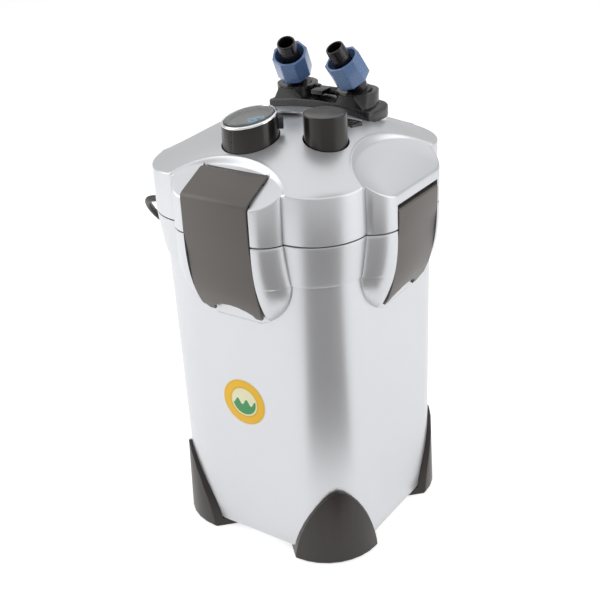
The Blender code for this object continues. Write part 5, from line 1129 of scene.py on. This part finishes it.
def elbow_rows():
    """Loop of (radius, distance along) up the outside of an elbow, over its four barbs, and down its bore."""
    bends = [ELBOW_SWING * (1 - step / 6) for step in range(13)]
    rows = [(radius * MM, ELBOW_FOOT + up * MM) for radius, up in ((12.0, 0.0), (12.0, 4.0), (11.6, 4.4))]
    rows.append((TUBE_RADIUS, ELBOW_FOOT + 4.8 * MM))
    rows += [(TUBE_RADIUS, along) for along in reversed(bends) if along > ELBOW_FOOT + 5.2 * MM]
    rows += [(TUBE_RADIUS, ELBOW_SWING + 4 * MM), (8.2 * MM, ELBOW_SWING + 5 * MM)]
    for rib in range(4):
        low = ELBOW_SWING + (9 + 6 * rib) * MM
        radius = (8.3 - 0.9 * rib / 4) * MM
        rows += [(radius + out * MM, low + up * MM) for out, up in BARB]
    tip = ((7.7, 1.5), (7.6, 0.5), (7.3, 0.0), (6.6, 0.0), (6.3, 0.3), (6.2, 22.0))
    rows += [(radius * MM, SPIGOT_LONG - back * MM) for radius, back in tip]
    rows += [(TUBE_BORE, along) for along in bends if along > ELBOW_FOOT + 1 * MM]
    return rows + [(TUBE_BORE, ELBOW_FOOT)]


def make_elbow(side):
    """Angled hose connector: foot in its socket, bend and tapered spigot with fine barbs."""
    rows = elbow_rows()
    angles = [2 * math.pi * step / TUBE_SIDES for step in range(TUBE_SIDES)]
    points = []
    for radius, along in rows:
        centre, lean = elbow_place(side, along)
        points += [centre + lean @ Vector((radius * math.cos(a), radius * math.sin(a), 0)) for a in angles]
    elbow = new_piece("elbow_tube_" + side, points, tube_faces(len(rows), TUBE_SIDES))
    finish(smooth(elbow, 30), "polished_black_abs", side + "_connector", "gloss_black", "elbow_" + side)
    make_nut(side)


def octagon_share(angle):
    """Reach of an octagon at an angle, as a share of its corners' reach."""
    return math.cos(math.pi / 8) / math.cos(angle % (math.pi / 4) - math.pi / 8)


def make_nut(side):
    """Eight sided union nut: thin rim, wide bore, and flats that close in on the elbow at the foot."""
    middle, lean = elbow_place(side, ELBOW_SWING)
    origin = middle - lean @ Vector((0, 0, ELBOW_SWING))
    rows = [(*row, True) for row in NUT_FLATS] + [(*row, False) for row in NUT_BORE]
    points = []
    for radius, up, flats in rows:
        for step in range(TUBE_SIDES):
            angle = 2 * math.pi * step / TUBE_SIDES
            reach = radius * MM * (octagon_share(angle) if flats else 1.0)
            turn = angle + NUT_TURNS[side]
            points.append(origin + lean @ Vector((reach * math.cos(turn), reach * math.sin(turn),
                                                  NUT_LOW + up * MM)))
    nut = new_piece("union_nut_" + side, points, tube_faces(len(rows), TUBE_SIDES))
    finish(edged(nut, NUT_EDGE, 2, 24, 22), "blue_nylon", side + "_nut", "nut_blue", "hose_nut_" + side)


def drawn_in(value, kept, share):
    """A coordinate with the part of it beyond kept made shorter."""
    past = max(abs(value) - kept, 0.0)
    return math.copysign(min(abs(value), kept) + past * share, value)


def make_connector_block():
    """Black block with two sockets, its slab drawn in at the ends and sides, its lever and its connectors."""
    plate = copied("connector_plate", "connector_block")
    for corner in plate.data.vertices:
        if corner.co.z < PLATE_TOP_Z - plate_sag(corner.co.x) + SLAB_RIM:
            corner.co.x = drawn_in(corner.co.x, *SLAB_LONG)
            corner.co.y = SOCKET_Y + drawn_in(corner.co.y - SOCKET_Y, *SLAB_WIDE)
    finish(edged(plate, BLOCK_EDGE), "polished_black_abs", "vessel", "gloss_black", "connector_plate")
    rounded_node("release_lever", "lever_piece", LEVER_EDGE, "polished_black_abs", "lever", "gloss_black")
    for side in ("left", "right"):
        make_elbow(side)


# ---------------------------------------------------------------- switch, lip and sticker
LIP_LONG = 16.0 * MM
LIP_WIDE = 7.2 * MM
LIP_STEPS = 36
LIP_ACROSS = 10
STICKER_SIDES = 96
# Steps out of the vessel's face and share of the radius of the sticker's rims.
STICKER_LAYERS = ((0.02, 1.0), (0.16, 1.0), (0.18, 0.995))
# Share of the sticker's radius and colour from its middle outwards.
STICKER_RINGS = ((0.0, "#FBF7CF"), (0.56, "#FBF7CF"), (0.60, "#FBEFA0"), (0.65, "#D9A526"),
                 (0.69, "#FFC822"), (0.90, "#FFC822"), (0.96, "#F2B824"), (1.0, "#F8EBC4"))
HILL_COLOUR = "#3F9A5B"
HILL_REACH = 0.55
HILL_LONG = 9 * MM
HILL_HIGH = 2.6 * MM


def make_switch():
    """Rocker switch in its frame, both brought down towards the dome, with a thin lip of the lid behind."""
    base = dome_height(*SWITCH_PLACE)
    for node, name, edge, body in (("switch_frame", "switch_bezel", BEZEL_EDGE, "vessel"),
                                   ("switch_rocker", "rocker_key", ROCKER_EDGE, "rocker")):
        piece = copied(node, name)
        for corner in piece.data.vertices:
            above = corner.co.z - base
            corner.co.z = base + min(above, SWITCH_LOW_SHARE * above)
        finish(edged(piece, edge), "polished_black_abs", body, "gloss_black", node)
    x, y = SWITCH_PLACE
    rear = Matrix.Rotation(SWITCH_TURN, 2) @ Vector((0, SWITCH_WIDE / 2 - SWITCH_LIP_IN))
    lip = block("switch_rear_lip", SWITCH_LIP_SIZE, (x + rear.x, y + rear.y, base + SWITCH_LIP_UP),
                SWITCH_TURN)
    finish(edged(lip, BEZEL_EDGE, 2), "sprayed_silver_lacquer", "vessel", "silver_shell")


def lip_points():
    """Places of the lip's top and underside in rows across it, from its left tip to its right tip."""
    top, under = [], []
    for step in range(LIP_STEPS + 1):
        along = -1 + 2 * step / LIP_STEPS
        half = LIP_WIDE * max(1 - along * along, 0.0008) ** 0.8
        full = half / LIP_WIDE
        for side in range(LIP_ACROSS + 1):
            share = -1 + 2 * side / LIP_ACROSS
            x = LIP_PLACE[0] + LIP_LONG * along
            y = LIP_PLACE[1] + half * share + 1.5 * MM * along
            base = dome_height(x, y) + (2.7 - 2.0 * full * share) * MM
            crown = 0.5 * MM * (1 - share * share) * full
            top.append((x, y, base + crown + 0.5 * MM))
            under.append((x, y, base - (0.9 * full + 0.1) * MM))
    return top, under


def make_leaf_lip():
    """Leaf shaped lip on the crown: its rear lies on the dome, its front edge stands clear of it."""
    top, under = lip_points()
    count = len(top)
    row = LIP_ACROSS + 1
    faces = []
    for step in range(LIP_STEPS):
        for side in range(LIP_ACROSS):
            a = step * row + side
            faces.append((a, a + 1, a + row + 1, a + row))
            faces.append((count + a, count + a + row, count + a + row + 1, count + a + 1))
    edge = [step * row for step in range(LIP_STEPS + 1)] + [LIP_STEPS * row + side for side in range(1, row)]
    edge += [step * row + LIP_ACROSS for step in range(LIP_STEPS - 1, -1, -1)]
    edge += list(range(LIP_ACROSS - 1, 0, -1))
    faces += [(a, b, count + b, count + a) for a, b in zip(edge, edge[1:] + edge[:1])]
    lip = new_piece("leaf_lip", top + under, faces)
    finish(smooth(lip, 40), "sprayed_silver_lacquer", "vessel", "silver_shell")


def print_sticker():
    """Print on the sticker's paper: gold band, pale middle and green hills below a wavy skyline."""
    tree = look("gloss_printed_paper").node_tree
    place = add(tree, "ShaderNodeTexCoord").outputs["Object"]
    x, z = STICKER_PLACE
    centred = add(tree, "ShaderNodeMapping", {"Location": (-x, 0.0, -z)}, {"Vector": place})
    parts = add(tree, "ShaderNodeSeparateXYZ", {}, {0: centred.outputs[0]}).outputs
    flat = add(tree, "ShaderNodeCombineXYZ", {}, {0: parts[0], 1: parts[2]})
    reach = add(tree, "ShaderNodeVectorMath", {}, {0: flat.outputs[0]}, operation="LENGTH")
    share = add(tree, "ShaderNodeMath", {1: 1 / STICKER_RADIUS}, {0: reach.outputs["Value"]},
                operation="MULTIPLY").outputs[0]
    rings = add(tree, "ShaderNodeValToRGB", {}, {0: share})
    elements = rings.color_ramp.elements
    while len(elements) < len(STICKER_RINGS):
        elements.new(0.5)
    for element, (spot, colour) in zip(elements, STICKER_RINGS):
        element.position = spot
        element.color = rgba(colour)
    ripple = add(tree, "ShaderNodeMath", {1: 2 * math.pi / HILL_LONG}, {0: parts[0]}, operation="MULTIPLY")
    wave = add(tree, "ShaderNodeMath", {}, {0: ripple.outputs[0]}, operation="SINE")
    skyline = add(tree, "ShaderNodeMath", {1: HILL_HIGH}, {0: wave.outputs[0]}, operation="MULTIPLY")
    below = add(tree, "ShaderNodeMath", {}, {0: parts[2], 1: skyline.outputs[0]}, operation="LESS_THAN")
    middle = add(tree, "ShaderNodeMath", {1: HILL_REACH}, {0: share}, operation="LESS_THAN")
    hills = add(tree, "ShaderNodeMath", {}, {0: below.outputs[0], 1: middle.outputs[0]}, operation="MULTIPLY")
    mixed = add(tree, "ShaderNodeMix", {7: rgba(HILL_COLOUR)}, {0: hills.outputs[0], 6: rings.outputs[0]},
                data_type="RGBA")
    tree.links.new(mixed.outputs[2], tree.nodes["Principled BSDF"].inputs["Base Color"])


def make_sticker():
    """Round sticker low on the front: a yellow band, a cream ring and a green middle."""
    print_sticker()
    rings = []
    for out, share in STICKER_LAYERS:
        radius = STICKER_RADIUS * share
        ring = []
        for step in range(STICKER_SIDES):
            angle = 2 * math.pi * step / STICKER_SIDES
            z = STICKER_PLACE[1] + radius * math.sin(angle)
            ring.append((STICKER_PLACE[0] + radius * math.cos(angle), -(body_half(z) + out * MM), z))
        rings.append(ring)
    finish(smooth(skin("round_sticker", rings), 30), "gloss_printed_paper", "vessel", "label_grey")


# ---------------------------------------------------------------- mains lead
CORD_DIAMETER = 6.5 * MM
CORD_SPACING = 5 * MM
CORD_ROUTE = (
    (-121.5, 62.0, 318.0), (-135.5, 61.8, 315.9), (-147.1, 60.3, 307.6), (-154.4, 57.6, 295.3),
    (-157.6, 53.7, 281.8), (-160.6, 48.0, 269.1), (-167.6, 40.8, 259.3), (-178.8, 34.6, 253.5),
    (-192.7, 33.4, 250.5), (-205.3, 36.8, 245.9), (-213.7, 44.6, 237.5), (-216.1, 53.1, 226.3),
    (-213.3, 61.6, 215.1), (-208.1, 70.0, 204.7), (-202.1, 77.5, 194.1), (-195.6, 82.9, 182.6),
    (-189.2, 85.5, 170.2), (-183.3, 85.7, 156.9), (-177.9, 84.1, 143.1), (-172.8, 81.5, 129.1),
    (-168.1, 78.7, 115.1), (-163.5, 76.2, 101.1), (-159.3, 74.5, 87.1), (-155.4, 74.3, 73.4),
    (-152.2, 75.8, 59.9), (-149.7, 79.8, 47.0), (-147.9, 86.8, 35.1), (-146.7, 95.7, 24.2),
    (-146.1, 106.0, 14.8), (-146.0, 117.5, 7.2), (-146.4, 128.0, 4.75), (-146.97, 136.5, 4.6),
)
COIL_TURNS = 5
COIL_STEPS = 36
COIL_INWARD_TURNS = 2.75
COIL_OUTER = 46.7 * MM
COIL_PITCH = CORD_DIAMETER + 0.9 * MM
COIL_LAYER = CORD_DIAMETER + 0.8 * MM
COIL_PLACE = (-101.0 * MM, 145.0 * MM)
COIL_START = math.radians(190)
COIL_LOW = CORD_DIAMETER / 2 + 1.35 * MM
TAIL_LONG = 60.0 * MM
TAIL_STEPS = 12
TAIL_LEVEL = 0.45
PLUG_AXIS_Z = 7.2 * MM
RELIEF_LONG = 23.9 * MM
RELIEF_TIP = 4.3 * MM
RELIEF_ROOT = 5.9 * MM
RELIEF_RIBS = 5
# Steps out and the part of one rib's pitch down of each rib.
RELIEF_RIB = ((0.1, 0.55), (-0.8, 0.62), (-0.7, 0.9), (0.25, 1.0))
# Steps out of the root and heights of the flange and the part inside the wall.
RELIEF_FLANGE = ((0.0, 3.2), (2.2, 2.7), (2.6, 2.3), (2.6, 1.0), (0.0, 1.0), (0.0, -6.0))


def smooth_route(points, spacing):
    """Points about evenly spaced on a smooth curve through the route."""
    places = [Vector(point) * MM for point in points]
    fine = []
    for index in range(len(places) - 1):
        before = places[max(index - 1, 0)]
        start, end = places[index], places[index + 1]
        after = places[min(index + 2, len(places) - 1)]
        for step in range(16):
            t = step / 16
            fine.append(0.5 * ((2 * start) + (end - before) * t
                               + (2 * before - 5 * start + 4 * end - after) * t * t
                               + (3 * start - before - 3 * end + after) * t ** 3))
    fine.append(places[-1])
    even = [fine[0]]
    for point in fine[1:-1]:
        if (point - even[-1]).length >= spacing and (point - fine[-1]).length > 0.5 * spacing:
            even.append(point)
    even.append(fine[-1])
    return even


def coil_points():
    """Loops in two layers: a spiral in on the floor, then out on top, and a tail to the plug."""
    reverse = COIL_INWARD_TURNS * COIL_STEPS
    middle_x, middle_y = COIL_PLACE
    points = []
    for step in range(1, COIL_TURNS * COIL_STEPS + 1):
        angle = COIL_START - 2 * math.pi * step / COIL_STEPS
        inward = min(step, reverse) - max(step - reverse, 0.0)
        radius = COIL_OUTER - COIL_PITCH * inward / COIL_STEPS
        climb = limited((step - reverse + COIL_STEPS / 4) / (COIL_STEPS / 2))
        points.append(Vector((middle_x + radius * math.cos(angle), middle_y + radius * math.sin(angle),
                              COIL_LOW + climb * COIL_LAYER)))
    last = points[-1]
    onward = Vector((math.sin(COIL_START), -math.cos(COIL_START), 0.0))
    for step in range(1, TAIL_STEPS + 1):
        share = step / TAIL_STEPS
        place = last + onward * (TAIL_LONG * share)
        ease = blend((share - TAIL_LEVEL) / (1 - TAIL_LEVEL))
        points.append(Vector((place.x, place.y, last.z + (PLUG_AXIS_Z - last.z) * ease)))
    return points


def gland_place():
    """Frame of the gland: its Z runs out of the lid's wall."""
    return Matrix.Translation(GLAND_PLACE) @ Matrix.Rotation(-math.pi / 2, 4, "Y")


def make_strain_relief():
    """Ribbed tapering sleeve where the lead leaves the lid, with a flange against the wall."""
    profile = [(0.0, RELIEF_LONG), (RELIEF_TIP - 0.3 * MM, RELIEF_LONG), (RELIEF_TIP, RELIEF_LONG - 0.3 * MM)]
    pitch = (RELIEF_LONG - 4.5 * MM) / RELIEF_RIBS
    for rib in range(RELIEF_RIBS):
        high = RELIEF_LONG - rib * pitch
        radius = RELIEF_TIP + (RELIEF_ROOT - RELIEF_TIP) * rib / RELIEF_RIBS
        profile += [(radius + out * MM, high - down * pitch) for out, down in RELIEF_RIB]
    profile += [(RELIEF_ROOT + out * MM, up * MM) for out, up in RELIEF_FLANGE]
    profile.append((0.0, -6.0 * MM))
    finish(smooth(lathe("strain_relief", profile, 48, gland_place()), 35), "black_pvc_jacket", "vessel",
           "cord_black", "cord_gland")


def make_cord():
    """The whole lead as one tube: from its gland round behind the vessel, into the tied coil and the plug."""
    make_strain_relief()
    plug = rounded_node("mains_plug", "plug_body", PLUG_EDGE, "black_pvc_jacket", "vessel", "cord_black")
    tie = rounded_node("cord_tie", "coil_tie", TIE_EDGE, "black_pvc_jacket", "vessel", "cord_black")
    points = smooth_route(CORD_ROUTE, CORD_SPACING) + coil_points()
    curve = bpy.data.curves.new("mains_lead", "CURVE")
    curve.dimensions = "3D"
    curve.bevel_depth = CORD_DIAMETER / 2
    curve.bevel_resolution = 6
    curve.use_fill_caps = True
    spline = curve.splines.new("POLY")
    spline.points.add(len(points) - 1)
    for point, place in zip(spline.points, points):
        point.co = (*place, 1.0)
    spline.use_smooth = True
    lead = put("mains_lead", curve)
    curve.materials.append(look("black_pvc_jacket"))
    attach(lead, "vessel")
    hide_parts("mains_cord", "cord_coil")


bpy.context.scene.view_settings.view_transform = "Standard"
make_camera()
make_lights()
make_world()
make_floor()
finish_cad_nodes()
make_cord()
make_vessel()
make_lid()
make_latches()
make_feet()
make_lamp_unit()
make_primer()
make_return_spring()
make_connector_block()
make_switch()
make_leaf_lip()
make_sticker()
